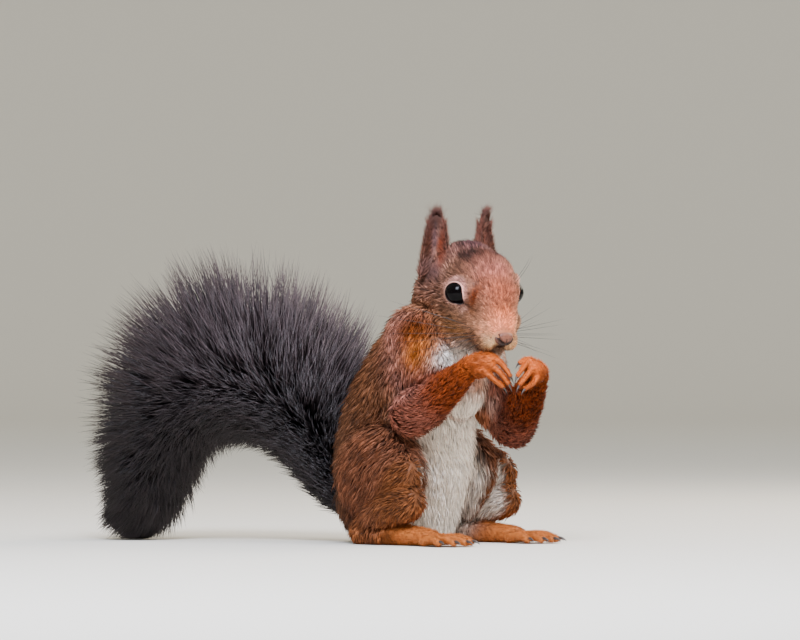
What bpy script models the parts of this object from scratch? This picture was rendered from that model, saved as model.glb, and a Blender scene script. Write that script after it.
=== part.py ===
"""A Eurasian red squirrel sitting up to eat, with both forepaws at its mouth, as a still model.

Every solid gives the animal's outline out to the tips of its coat. Sizes are in millimetres
until a mesh is made. The trunk faces -Y, +Z is up, +X is the animal's left, and the tail
arches up behind it towards +Y.
"""

import math

import bmesh
import bpy
from mathutils import Matrix, Vector

MM = 0.001
GAP = 0.3  # clearance that neighbouring pieces keep
FLAT = 6.0  # degrees of bend that count as flat
RIGHT, LEFT = -1, 1

# Head: its frame stands just ahead of the eyeballs' middle, and counts forward, left and up.
HEAD_PLACE = Vector((-6.0, -33.8, 100.5))
HEAD_TURN = 20.0  # degrees to its right of the trunk
HEAD_NOD = 20.0  # degrees down
EYE_RADIUS = 5.8
EYE_AHEAD, EYE_OUT = -1.6, 11.2  # place of an eyeball's centre in the head

# Masses of the head: centre, radii and the degrees that each is tipped forward.
MIDDLE_MASSES = [
    ((-14.5, 0, 1.2), (17, 14.4, 15.4), 0),  # cranium
    ((-5, 0, 5), (13, 14, 11), 0),  # forehead
    ((2, 0, 0.8), (13, 13.2, 10.6), 20),  # brow
    ((-23, 0, -8), (14, 18, 16.5), 0),  # nape
    ((20, 0, -11), (2.8, 3.2, 2.6), 0),  # nose
]
PAIRED_MASSES = [
    ((12.6, 4.8, -14.4), (7.4, 5.2, 5.2), 0),  # whisker pad
    ((-3, 8.2, -9.5), (15, 8.6, 10.2), 0),  # cheek
    ((-6, 7, -14.5), (14, 9, 9.5), 0),  # jowl
    ((0, 7.6, 2.0), (9, 7.4, 7.6), 0),  # side of the brow
    ((-18, 9, 1), (8, 6, 8), 0),  # root of the ear
]
SNOUT = [((-2, 0, -1), 13, 10.5), ((6.5, 0, -5.2), 11.2, 9.8), ((12.5, 0, -9.0), 8.9, 8.2), ((18.2, 0, -12.2), 5.6, 5.2)]
JAW = [((-8, 0, -13), 13, 9), ((6, 0, -17), 8.5, 5.5), ((14.5, 0, -20), 4, 3.2)]

# Ears: a wall bent to a cup.
EAR_HEIGHT = 29.0
EAR_HALF_WIDTH = 6.4
EAR_TAPER = 0.42
EAR_BLUNTNESS = 10  # the higher, the squarer the tip
EAR_WALL = 1.6
EAR_FACING = 32.0  # degrees that the opening looks out from straight ahead
EAR_ROOT = (13.4, 17.5, 6)  # outward, back and up from the head's frame
EAR_LEAN = (-2.0, 1.5)  # outward and back, from root to tip

# Trunk, as stations up the spine: (back, height), half width and half depth.
SPINE = [
    ((15, 16), 27, 25),
    ((13, 32), 31, 28),
    ((11, 48), 29, 27.5),
    ((5, 64), 26, 25),
    ((-2, 78), 23, 21),
    ((-8, 88), 19, 17),
]

RUMP = ((0, 22, 18), (25, 20, 19))  # centre and radii
BREAST = ((0, -12, 66), (17, 15, 18))
NECK = [((-1, -14, 96), 16, 15), ((0, -11, 89), 20, 19), ((0, -8, 80), 22, 21)]

# Forelegs: places of the left shoulder and of either elbow, then the hands at the mouth.
SHOULDER = (14, -6, 82)
SHOULDER_RADII = (12, 17, 16)
ELBOW = {RIGHT: (-26, -12, 52), LEFT: (22, -25, 47)}
GRASP = Vector((-9.5, -51, 66))  # where the fingertips of both hands meet
HAND_TURN = {RIGHT: 32.7, LEFT: 17.7}  # degrees that each faces to the right of the trunk
HAND_DROP = {RIGHT: 0, LEFT: 10}  # degrees that it slopes down to its wrist
WRIST = (15.3, -6.2, 6)  # places in a hand count outward, ahead and up from the grasp
PALM_END = (9.3, -2.6, 6.4)
PALM_HEEL = (13.2, -2.2, 2.2)
FINGERS = [  # knuckle, middle joint and tip of each
    ((12.2, -5.4, 9.4), (7.9, -5.0, 9.8), (4.2, -3.8, 7.6)),
    ((7.8, -3.0, 9.2), (4.7, -1.0, 6.5), (1.5, 0.3, 1.9)),
    ((8.7, -1.5, 5.8), (5.8, 0.5, 2.9), (2.6, 1.2, -1.3)),
    ((11.2, -0.4, 3.0), (8.8, 1.4, 0.4), (5.2, 1.8, -2.4)),
]
FINGER_GAUGE = 1.3
CLAW_GAUGE = 0.45  # at the tip

# Hind legs: centre of the haunch, knee, heel and ball of the foot on the left side.
HAUNCH = (23, 6, 28)
HAUNCH_RADII = (13.5, 23, 22)
KNEE = (30, -13, 28)
HEEL = (25, 13, 5)
BALL = (27, -22, 3.4)
TOE_LENGTHS = (15, 19, 20.5, 19, 14)
TOE_GAUGE = 1.9
TOE_SPACING = 2.7
TOE_SPREAD, TOE_OUT = 8.5, 2  # degrees from toe to toe, and that all of them turn out

# Tail: the bony core as (distance behind its root, height over it), swung to the right.
TAIL_ROOT = Vector((0, 36, 15))
TAIL_SWING = 25.0
TAIL_CORE = [
    (0, 0), (9, 10), (16, 22), (25, 33), (37, 41), (50, 45), (63, 44),
    (74, 38), (82, 28), (87, 17), (90, 6), (95, -4), (102, -13),
]
# Reach of the hair from the core at those points: outer side, inner side and either flank.
TAIL_HAIR = [
    (9, 8, 9), (18, 12, 17), (31, 15, 24), (46, 17, 28), (55, 19, 30), (56, 21, 31), (54, 21, 30),
    (43, 21, 29), (33, 20, 27), (26, 18, 25), (22, 17, 22), (17, 14, 17), (9, 9, 9),
]
TAIL_LENGTHS = 4
TAIL_SIDES = 16

COLOURS = {
    "back": (0.23, 0.09, 0.045),
    "head": (0.36, 0.19, 0.12),
    "arm": (0.45, 0.12, 0.03),
    "hand": (0.58, 0.27, 0.13),
    "ear": (0.17, 0.08, 0.06),
    "tail": (0.04, 0.032, 0.04),
    "eye": (0.01, 0.008, 0.008),
}
FUR_ROUGHNESS, EYE_ROUGHNESS = 0.9, 0.05


def material(name, colour, roughness):
    made = bpy.data.materials.new(name)
    made.use_nodes = True
    shader = made.node_tree.nodes["Principled BSDF"]
    shader.inputs["Base Color"].default_value = (*colour, 1)
    shader.inputs["Roughness"].default_value = roughness
    shader.inputs["Metallic"].default_value = 0
    return made


def head_frame():
    turn, nod = math.radians(HEAD_TURN), math.radians(HEAD_NOD)
    level = Vector((-math.sin(turn), -math.cos(turn), 0))
    up = Vector((0, 0, 1))
    forward = level * math.cos(nod) - up * math.sin(nod)
    crown = level * math.sin(nod) + up * math.cos(nod)
    left = crown.cross(forward)
    frame = Matrix((forward, left, crown)).transposed().to_4x4()
    frame.translation = HEAD_PLACE
    return frame


HEAD = head_frame()
WORLD = Matrix.Identity(4)


def ball(mesh, centre, radii, tilt=0.0, axis="Y", frame=WORLD, detail=3):
    """An egg-shaped mass; tilt turns it about one of the frame's axes, in degrees."""
    place = Matrix.Translation(centre) @ Matrix.Rotation(math.radians(tilt), 4, axis)
    shape = Matrix.Diagonal((*radii, 1))
    bmesh.ops.create_icosphere(mesh, subdivisions=detail, radius=1, matrix=frame @ place @ shape)


def smooth_through(rows, steps):
    """Catmull-Rom points through rows of equal length, steps to each span."""
    points = []
    last = len(rows) - 1
    for n in range(last):
        four = [rows[max(n - 1, 0)], rows[n], rows[n + 1], rows[min(n + 2, last)]]
        for k in range(steps):
            t = k / steps
            weights = (
                (-t + 2 * t * t - t ** 3) / 2,
                (2 - 5 * t * t + 3 * t ** 3) / 2,
                (t + 4 * t * t - 3 * t ** 3) / 2,
                (-t * t + t ** 3) / 2,
            )
            points.append([sum(w * row[i] for w, row in zip(weights, four)) for i in range(len(rows[0]))])
    points.append(list(rows[-1]))
    return points


def skin_rings(mesh, rings):
    """Joins rings of points into one closed tube with a point at each end."""
    rows = [[mesh.verts.new(p) for p in ring] for ring in rings]
    count = len(rows[0])
    for low, high in zip(rows, rows[1:]):
        for n in range(count):
            mesh.faces.new((low[n], low[(n + 1) % count], high[(n + 1) % count], high[n]))
    mesh.faces.new(rows[0][::-1])
    mesh.faces.new(rows[-1])


def tube(mesh, stations, side=(1, 0, 0), frame=WORLD, sides=14, steps=4):
    """A limb: stations of (place, radius across, radius along), closed by a round end."""
    rows = smooth_through([(*place, across, along) for place, across, along in stations], steps)
    places = [Vector(row[:3]) for row in rows]
    rings = []
    last = len(rows) - 1
    for n, row in enumerate(rows):
        ahead = (places[min(n + 1, last)] - places[max(n - 1, 0)]).normalized()
        across = (Vector(side) - ahead * ahead.dot(Vector(side))).normalized()
        along = ahead.cross(across)
        ends = [(0, 1)]
        if n == 0:
            ends = [(-math.sin(a), math.cos(a)) for a in (1.35, 1.0, 0.55, 0)]
        if n == last:
            ends = [(math.sin(a), math.cos(a)) for a in (0, 0.55, 1.0, 1.35)]
        for shift, shrink in ends:
            centre = places[n] + ahead * shift * min(row[3], row[4])
            ring = []
            for k in range(sides):
                angle = 2 * math.pi * k / sides
                offset = across * row[3] * math.cos(angle) + along * row[4] * math.sin(angle)
                ring.append(frame @ (centre + offset * shrink))
            rings.append(ring)
    skin_rings(mesh, rings)


def evaluated(thing):
    return bpy.data.meshes.new_from_object(thing.evaluated_get(bpy.context.evaluated_depsgraph_get()))


def sided(name, side):
    return f"{name}_left" if side == LEFT else f"{name}_right"


def mirrored(side, place):
    """A place given for the left side, on either side."""
    return Vector((side * place[0], place[1], place[2]))


def put(name, mesh, finish):
    """Makes the named piece from a bmesh in millimetres."""
    bmesh.ops.scale(mesh, vec=(MM, MM, MM), verts=mesh.verts)
    bmesh.ops.recalc_face_normals(mesh, faces=mesh.faces)
    data = bpy.data.meshes.new(name)
    mesh.to_mesh(data)
    mesh.free()
    piece = bpy.data.objects.new(name, data)
    bpy.context.scene.collection.objects.link(piece)
    data.materials.append(finish)
    data.shade_smooth()
    return piece


def bake(piece):
    """Replaces a piece's mesh by what its modifiers make of it."""
    finish = piece.data.materials[0]
    data = evaluated(piece)
    data.name = piece.name
    piece.modifiers.clear()
    piece.data = data
    data.materials.clear()
    data.materials.append(finish)
    data.shade_smooth()


def fuse(piece, voxel, triangles, rounds=4):
    """Melts the overlapping masses of a piece into one closed skin of few triangles."""
    bpy.context.view_layer.update()
    remesh = piece.modifiers.new("fuse", "REMESH")
    remesh.mode = "VOXEL"
    remesh.voxel_size = voxel * MM
    soften = piece.modifiers.new("soften", "SMOOTH")
    soften.iterations = rounds
    soften.factor = 0.5
    bake(piece)
    thin(piece, triangles)
    cutter_of(piece)
    return piece


def thin(piece, triangles):
    """Decimates a piece to about this many triangles."""
    piece.data.calc_loop_triangles()
    decimate = piece.modifiers.new("thin", "DECIMATE")
    decimate.ratio = min(1.0, triangles / len(piece.data.loop_triangles))
    decimate.use_collapse_triangulate = True
    bake(piece)


def keep_largest(piece):
    """Drops the stray chips that a cut can leave beside the main body."""
    mesh = bmesh.new()
    mesh.from_mesh(piece.data)
    left = set(mesh.verts)
    bodies = []
    while left:
        front = [left.pop()]
        body = set(front)
        while front:
            for edge in front.pop().link_edges:
                for vert in edge.verts:
                    if vert in left:
                        left.remove(vert)
                        body.add(vert)
                        front.append(vert)
        bodies.append(body)
    bodies.sort(key=len)
    stray = [vert for body in bodies[:-1] for vert in body]
    bmesh.ops.delete(mesh, geom=stray, context="VERTS")
    mesh.to_mesh(piece.data)
    mesh.free()


def cutter_of(piece):
    """A guide that stands GAP outside a piece, made before the piece itself is cut."""
    mesh = bmesh.new()
    mesh.from_mesh(piece.data)
    mesh.normal_update()
    for vert in mesh.verts:
        vert.co += vert.normal * GAP * MM
    data = bpy.data.meshes.new(f"cutter_{piece.name}")
    mesh.to_mesh(data)
    mesh.free()
    cutter = bpy.data.objects.new(data.name, data)
    cutter.hide_render = True
    cutter.display_type = "WIRE"
    bpy.context.scene.collection.objects.link(cutter)
    return cutter


def carve(piece, *neighbours):
    """Cuts a piece back to GAP from the neighbours that it would run into."""
    for other in neighbours:
        cut = piece.modifiers.new("cut", "BOOLEAN")
        cut.operation = "DIFFERENCE"
        cut.solver = "EXACT"
        cut.object = bpy.data.objects[f"cutter_{other.name}"]
        bpy.context.view_layer.update()
        bake(piece)
        keep_largest(piece)


def simplify(piece):
    """Melts the nearly flat runs of small facets that the cuts leave."""
    mesh = bmesh.new()
    mesh.from_mesh(piece.data)
    bmesh.ops.remove_doubles(mesh, verts=mesh.verts, dist=0.00001)
    bmesh.ops.dissolve_limit(mesh, angle_limit=math.radians(FLAT), verts=mesh.verts, edges=mesh.edges)
    bmesh.ops.triangulate(mesh, faces=mesh.faces)
    mesh.to_mesh(piece.data)
    mesh.free()


def level_off(piece):
    """Cuts the underside flat at the floor."""
    mesh = bmesh.new()
    mesh.from_mesh(piece.data)
    everything = [*mesh.verts, *mesh.edges, *mesh.faces]
    bmesh.ops.bisect_plane(mesh, geom=everything, dist=0.000001, plane_co=(0, 0, 0), plane_no=(0, 0, -1),
                           clear_outer=True)
    rim = [edge for edge in mesh.edges if edge.is_boundary]
    bmesh.ops.holes_fill(mesh, edges=rim, sides=0)
    bmesh.ops.triangulate(mesh, faces=mesh.faces)
    bmesh.ops.recalc_face_normals(mesh, faces=mesh.faces)
    mesh.to_mesh(piece.data)
    mesh.free()
    keep_largest(piece)


def make_eye(side, finish):
    mesh = bmesh.new()
    ball(mesh, (EYE_AHEAD, side * EYE_OUT, 0), (EYE_RADIUS,) * 3, frame=HEAD, detail=2)
    eye = put(sided("eye", side), mesh, finish)
    cutter_of(eye)
    return eye


def make_head(finish):
    """Cranium, brow, snout with its whisker pads, cheeks, jaw and the back of the head."""
    mesh = bmesh.new()
    for centre, radii, tilt in MIDDLE_MASSES:
        ball(mesh, centre, radii, tilt, frame=HEAD)
    for (ahead, out, up), radii, tilt in PAIRED_MASSES:
        for side in (RIGHT, LEFT):
            ball(mesh, (ahead, side * out, up), radii, tilt, frame=HEAD)
    for stations in (SNOUT, JAW):
        tube(mesh, stations, side=(0, 1, 0), frame=HEAD)
    return fuse(put("head", mesh, finish), 0.9, 1250, rounds=10)


def make_ear(side, finish):
    """A cupped leaf of one wall, deep at its root and flatter towards its blunt tip."""
    facing = math.radians(EAR_FACING)
    turn = Matrix.Rotation(-math.radians(HEAD_TURN), 3, "Z")
    opening = turn @ Vector((side * math.sin(facing), -math.cos(facing), 0))
    across = turn @ Vector((-side * math.cos(facing), -math.sin(facing), 0))
    out, back, up = EAR_ROOT
    base = HEAD_PLACE + turn @ Vector((side * out, back, 0)) + Vector((0, 0, up))
    lean = turn @ Vector((side * EAR_LEAN[0], EAR_LEAN[1], 0))
    rows, columns = 10, 8
    rings = []
    for n in range(rows + 1):
        t = n / rows
        centre = base + lean * t + Vector((0, 0, EAR_HEIGHT * t))
        width = EAR_HALF_WIDTH * (1 - EAR_TAPER * t) * max(0.35, math.sqrt(1 - t ** EAR_BLUNTNESS))
        depth = width * (1.3 - 0.5 * t)
        outer, inner = [], []
        for k in range(columns + 1):
            angle = math.pi * k / columns
            rim, cup = math.cos(angle), math.sin(angle)
            inside = max(0.2, 1 - EAR_WALL / width)
            outer.append(centre + across * width * rim - opening * depth * cup)
            inner.append(centre + across * width * rim * inside - opening * depth * cup * inside)
        rings.append([*outer, *inner[::-1]])
    mesh = bmesh.new()
    skin_rings(mesh, rings)
    return fuse(put(sided("ear", side), mesh, finish), 0.45, 240, rounds=2)


def make_neck(finish):
    mesh = bmesh.new()
    tube(mesh, NECK)
    return fuse(put("neck", mesh, finish), 1.4, 260)


def make_trunk(finish):
    mesh = bmesh.new()
    tube(mesh, [((0, *place), across, along) for place, across, along in SPINE], sides=18)
    ball(mesh, *RUMP)
    ball(mesh, *BREAST)
    return fuse(put("trunk", mesh, finish), 1.8, 620)


def make_upper_arm(side, finish):
    mesh = bmesh.new()
    shoulder, elbow = mirrored(side, SHOULDER), Vector(ELBOW[side])
    ball(mesh, shoulder, SHOULDER_RADII)
    tube(mesh, [(shoulder + mirrored(side, (2, -4, -6)), 11, 14), (shoulder + mirrored(side, (3, -11, -22)), 9, 11),
                (elbow, 7.5, 8)])
    return fuse(put(sided("upper_arm", side), mesh, finish), 1.4, 240)


def hand_place(side, place):
    """World place of a point in a hand, given as outward, ahead and up from the grasp."""
    turn = Matrix.Rotation(-math.radians(HAND_TURN[side]), 3, "Z")
    drop = Matrix.Rotation(side * math.radians(HAND_DROP[side]), 3, "Y")
    out, ahead, up = place
    return GRASP + turn @ drop @ Vector((side * out, -ahead, up))


def make_forearm(side, finish):
    mesh = bmesh.new()
    elbow, wrist = Vector(ELBOW[side]), hand_place(side, WRIST)
    middle = elbow.lerp(wrist, 0.5) + Vector((0, 0, -1))
    tube(mesh, [(elbow, 8.5, 9), (middle, 7, 7.8), (wrist, 4.4, 4.8)])
    return fuse(put(sided("forearm", side), mesh, finish), 1.0, 160)


def make_hand(side, finish):
    """Palm, heel and four curled fingers, each ending in a claw."""
    mesh = bmesh.new()
    wrist, palm_end, heel = (hand_place(side, place) for place in (WRIST, PALM_END, PALM_HEEL))
    tube(mesh, [(wrist, 3.8, 4.2), (wrist.lerp(palm_end, 0.5), 3.8, 4.8), (palm_end, 2.6, 4.2)])
    tube(mesh, [(heel.lerp(wrist, 0.3), 2.6, 2.4), (heel.lerp(palm_end, 0.3), 2.8, 2.2)], steps=2)
    for n, finger in enumerate(FINGERS):
        knuckle, middle, tip = (hand_place(side, place) for place in finger)
        tube(mesh, [(knuckle, FINGER_GAUGE * 1.15, FINGER_GAUGE * 1.15),
                    (middle, FINGER_GAUGE, FINGER_GAUGE),
                    (tip, FINGER_GAUGE * 0.8, FINGER_GAUGE * 0.8)], sides=8)
        claw = tip + (tip - middle).normalized() * 2.6 + Vector((0, 0, -1.2))
        tube(mesh, [(tip, 0.8, 0.8), (claw, CLAW_GAUGE, CLAW_GAUGE)], sides=6, steps=2)
    return fuse(put(sided("hand", side), mesh, finish), 0.5, 450, rounds=2)


def make_thigh(side, finish):
    mesh = bmesh.new()
    haunch, knee = mirrored(side, HAUNCH), mirrored(side, KNEE)
    ball(mesh, haunch, HAUNCH_RADII, 12, "X")
    tube(mesh, [(haunch, 11, 17), (knee.lerp(haunch, 0.4), 10, 14), (knee, 8, 10)])
    return fuse(put(sided("thigh", side), mesh, finish), 1.5, 260)


def make_shank(side, finish):
    mesh = bmesh.new()
    knee, heel = mirrored(side, KNEE), mirrored(side, HEEL)
    tube(mesh, [(knee + Vector((0, -1, -10)), 8, 9), (knee.lerp(heel, 0.6) + Vector((0, 0, -2)), 7.5, 8),
                (heel + Vector((0, -1, 4)), 5.5, 6)])
    return fuse(put(sided("shank", side), mesh, finish), 1.2, 140)


def make_foot(side, finish):
    """Heel, instep and five toes, each with a claw that is bent down to the floor."""
    mesh = bmesh.new()
    heel, sole = mirrored(side, HEEL), mirrored(side, BALL)
    tube(mesh, [(heel, 5, 5), (heel.lerp(sole, 0.5), 5.4, 4.6), (sole, 6.4, 3.6)])
    for n, length in enumerate(TOE_LENGTHS):
        outward = n - len(TOE_LENGTHS) // 2
        spread = math.radians(outward * TOE_SPREAD + TOE_OUT) * side
        start = sole + mirrored(side, (outward * TOE_SPACING, -1.5, -1.2))
        ahead = Vector((math.sin(spread), -math.cos(spread), 0))
        knuckle = start + ahead * length * 0.5 + Vector((0, 0, 1.0))
        tip = start + ahead * length * 0.86 + Vector((0, 0, -0.4))
        tube(mesh, [(start, TOE_GAUGE * 1.2, TOE_GAUGE * 1.2), (knuckle, TOE_GAUGE, TOE_GAUGE),
                    (tip, TOE_GAUGE * 0.85, TOE_GAUGE * 0.85)], sides=8)
        claw = tip + ahead * 4.2 + Vector((0, 0, -0.9))
        tube(mesh, [(tip + Vector((0, 0, 0.5)), 0.9, 0.9), (claw, CLAW_GAUGE, CLAW_GAUGE)], sides=6, steps=2)
    piece = fuse(put(sided("foot", side), mesh, finish), 0.7, 460, rounds=2)
    level_off(piece)
    return piece


def tail_rings():
    """Rings round the tail out to its hair tips, in the plane that the tail arches in."""
    swing = math.radians(TAIL_SWING)
    back = Vector((-math.sin(swing), math.cos(swing), 0))
    flank = Vector((math.cos(swing), math.sin(swing), 0))
    rows = smooth_through([(*core, *hair) for core, hair in zip(TAIL_CORE, TAIL_HAIR)], 2)
    centres = [TAIL_ROOT + back * row[0] + Vector((0, 0, row[1])) for row in rows]
    rings = []
    last = len(rows) - 1
    for n, row in enumerate(rows):
        ahead = (centres[min(n + 1, last)] - centres[max(n - 1, 0)]).normalized()
        outer = flank.cross(ahead)
        reach_out, reach_in, reach_side = row[2:]
        ring = []
        for k in range(TAIL_SIDES):
            angle = 2 * math.pi * k / TAIL_SIDES
            rise = math.sin(angle)
            reach = reach_out if rise > 0 else reach_in
            ring.append(centres[n] + flank * reach_side * math.cos(angle) + outer * reach * rise)
        rings.append(ring)
    return rings


def make_tail(finish):
    """The bush of the tail, parted into equal lengths across its core."""
    rings = tail_rings()
    last = len(rings) - 1
    pieces = []
    for n in range(TAIL_LENGTHS):
        low, high = round(n * last / TAIL_LENGTHS), round((n + 1) * last / TAIL_LENGTHS)
        mesh = bmesh.new()
        part = [list(ring) for ring in rings[low:high + 1]]
        for end, inner in ((0, 1), (-1, -2)):
            for k, point in enumerate(part[end]):
                step = part[inner][k] - point
                part[end][k] = point + step.normalized() * GAP * 0.5
        skin_rings(mesh, part)
        bmesh.ops.triangulate(mesh, faces=mesh.faces)
        pieces.append(put(f"tail_{n + 1}", mesh, finish))
    level_off(pieces[-1])
    return pieces


def settle(pieces):
    """Moves the whole animal so that its origin is the middle of its box, on the floor."""
    low, high = Vector((1, 1, 1)), Vector((-1, -1, -1))
    for piece in pieces:
        for vert in piece.data.vertices:
            low = Vector(map(min, low, vert.co))
            high = Vector(map(max, high, vert.co))
    shift = Vector(((low.x + high.x) / -2, (low.y + high.y) / -2, -low.z))
    for piece in pieces:
        piece.data.transform(Matrix.Translation(shift))


def build():
    for thing in list(bpy.data.objects):
        bpy.data.objects.remove(thing)
    coats = {name: material(f"{name}_finish", colour, EYE_ROUGHNESS if name == "eye" else FUR_ROUGHNESS)
             for name, colour in COLOURS.items()}
    eyes = [make_eye(side, coats["eye"]) for side in (RIGHT, LEFT)]
    head = make_head(coats["head"])
    ears = [make_ear(side, coats["ear"]) for side in (RIGHT, LEFT)]
    for ear in ears:
        carve(ear, head)
    carve(head, *eyes)
    hands = [make_hand(side, coats["hand"]) for side in (RIGHT, LEFT)]
    carve(hands[0], head)
    carve(hands[1], head, hands[0])
    forearms = [make_forearm(side, coats["arm"]) for side in (RIGHT, LEFT)]
    for forearm, hand in zip(forearms, hands):
        carve(forearm, hand, head)
    upper_arms = [make_upper_arm(side, coats["back"]) for side in (RIGHT, LEFT)]
    for upper_arm, forearm in zip(upper_arms, forearms):
        carve(upper_arm, forearm, head)
    neck = make_neck(coats["back"])
    carve(neck, head, *upper_arms)
    feet = [make_foot(side, coats["hand"]) for side in (RIGHT, LEFT)]
    thighs = [make_thigh(side, coats["back"]) for side in (RIGHT, LEFT)]
    shanks = [make_shank(side, coats["back"]) for side in (RIGHT, LEFT)]
    for thigh, shank, foot, upper_arm, forearm in zip(thighs, shanks, feet, upper_arms, forearms):
        carve(shank, foot)
        carve(thigh, shank, foot, upper_arm, forearm)
        level_off(shank)
        level_off(thigh)
    trunk = make_trunk(coats["back"])
    carve(trunk, neck, *upper_arms, *forearms, *thighs, *shanks, *feet, head)
    level_off(trunk)
    tail = make_tail(coats["tail"])
    for length in tail[:2]:
        carve(length, trunk, *thighs, *shanks, *feet, *upper_arms)
    carved = [head, *ears, *hands, *forearms, *upper_arms, neck, *feet, *thighs, *shanks, trunk]
    for piece in carved:
        simplify(piece)
    settle([*eyes, *carved, *tail])


build()
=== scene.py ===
import math

import bmesh
import bpy
import numpy as np
from mathutils import Matrix, Vector
from mathutils.bvhtree import BVHTree
from mathutils.kdtree import KDTree


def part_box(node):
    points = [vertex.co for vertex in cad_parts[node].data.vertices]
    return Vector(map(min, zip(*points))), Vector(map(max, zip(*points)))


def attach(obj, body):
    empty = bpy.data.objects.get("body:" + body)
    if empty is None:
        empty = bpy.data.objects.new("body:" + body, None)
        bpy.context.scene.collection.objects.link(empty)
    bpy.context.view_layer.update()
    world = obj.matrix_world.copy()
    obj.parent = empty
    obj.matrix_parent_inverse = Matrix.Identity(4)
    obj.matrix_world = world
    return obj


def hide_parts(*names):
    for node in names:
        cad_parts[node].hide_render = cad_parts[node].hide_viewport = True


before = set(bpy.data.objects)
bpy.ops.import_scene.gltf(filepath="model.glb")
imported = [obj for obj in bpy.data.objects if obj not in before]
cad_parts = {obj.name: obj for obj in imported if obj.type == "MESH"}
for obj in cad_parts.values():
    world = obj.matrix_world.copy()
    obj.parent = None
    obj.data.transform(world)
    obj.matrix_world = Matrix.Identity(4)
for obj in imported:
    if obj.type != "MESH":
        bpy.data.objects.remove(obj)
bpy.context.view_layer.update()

# ---------------------------------------------------------------- camera
# A portrait lens, level with the animal's chest and off its right shoulder. Lengths are in
# millimetres, counted from the place where the spine meets the floor under the head.
MM = 0.001
UP = Vector((0, 0, 1))
HEAD_PLACE = Vector((-6.0, -33.8, 100.5))  # just ahead of the eyeballs' middle
HEAD_TURN, HEAD_NOD = 20.0, 20.0  # degrees to its right, and down
EYE_RADIUS = 5.8
EYE_AHEAD, EYE_OUT = -1.6, 11.2  # place of an eyeball in the head
VIEW_AZIMUTH = -50.0  # degrees round from straight in front
VIEW_LENS, VIEW_SENSOR = 300.0, 36.0
VIEW_WIDTH = 320.0  # what the view takes in at the animal
VIEW_ACROSS, VIEW_HEIGHT, VIEW_DEPTH = -12.0, 90.0, -20.0

eyes_middle = sum((corner for side in ("left", "right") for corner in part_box(f"eye_{side}")), Vector()) / 4


def head_frame():
    turn, nod = math.radians(HEAD_TURN), math.radians(HEAD_NOD)
    level = Vector((-math.sin(turn), -math.cos(turn), 0))
    forward = level * math.cos(nod) - UP * math.sin(nod)
    crown = level * math.sin(nod) + UP * math.cos(nod)
    place = Matrix((forward, crown.cross(forward), crown)).transposed().to_4x4()
    place.translation = HEAD_PLACE
    return place


HEAD = head_frame()
SHIFT = eyes_middle / MM - HEAD @ Vector((EYE_AHEAD, 0, 0))

azimuth = math.radians(VIEW_AZIMUTH)
view_right = Vector((math.cos(azimuth), math.sin(azimuth), 0))
view_ahead = Vector((-math.sin(azimuth), math.cos(azimuth), 0))
aim = SHIFT + view_right * VIEW_ACROSS + view_ahead * VIEW_DEPTH + Vector((0, 0, VIEW_HEIGHT))
camera = bpy.data.objects.new("camera", bpy.data.cameras.new("camera"))
camera.data.lens = VIEW_LENS
camera.data.sensor_width = VIEW_SENSOR
camera.data.clip_end = 20
camera.location = (aim - view_ahead * VIEW_WIDTH * VIEW_LENS / VIEW_SENSOR) * MM
camera.rotation_euler = (math.pi / 2, 0, azimuth)
bpy.context.scene.collection.objects.link(camera)
bpy.context.scene.camera = camera

# ---------------------------------------------------------------- skin
# One hide over head, body, limbs and the bone of the tail, without a seam. It lies under the
# tips of the coat by the coat's depth, and hardly shows but between the tufts of hands and feet.
RIGHT, LEFT = -1, 1
SIDES = {RIGHT: "_right", LEFT: "_left"}
WORLD = Matrix.Identity(4)
HEAD_TURNED = Matrix.Rotation(-math.radians(HEAD_TURN), 3, "Z")
ROUNDING = (0, 0.4, 0.8, 1.1, 1.4)  # radians round the end of a limb


def ball(mesh, centre, radii, inset, tilt=0.0, axis="Y", place=WORLD):
    """An egg-shaped mass of flesh, inset by the depth of the coat over it."""
    shape = Matrix.Diagonal((*[radius - inset for radius in radii], 1))
    turn = Matrix.Rotation(math.radians(tilt), 4, axis)
    matrix = place @ Matrix.Translation(centre) @ turn @ shape
    bmesh.ops.create_icosphere(mesh, subdivisions=4, radius=1, matrix=matrix)


def smooth_through(rows, steps):
    """Catmull-Rom points through rows of equal length, steps to each span."""
    rows = np.array(rows, float)
    padded = np.vstack([rows[:1], rows, rows[-1:]])
    t = (np.arange(steps) / steps)[:, None]
    weights = ((-t + 2 * t**2 - t**3) / 2, (2 - 5 * t**2 + 3 * t**3) / 2,
               (t + 4 * t**2 - 3 * t**3) / 2, (-(t**2) + t**3) / 2)
    spans = [sum(w * padded[n + k] for k, w in enumerate(weights)) for n in range(len(rows) - 1)]
    return np.vstack([*spans, rows[-1:]])


def join_rings(mesh, rings):
    """Joins rings of points into one closed tube."""
    rows = [[mesh.verts.new(p) for p in ring] for ring in rings]
    count = len(rows[0])
    for low, high in zip(rows, rows[1:]):
        for n in range(count):
            mesh.faces.new((low[n], low[(n + 1) % count], high[(n + 1) % count], high[n]))
    mesh.faces.new(rows[0][::-1])
    mesh.faces.new(rows[-1])


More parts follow.
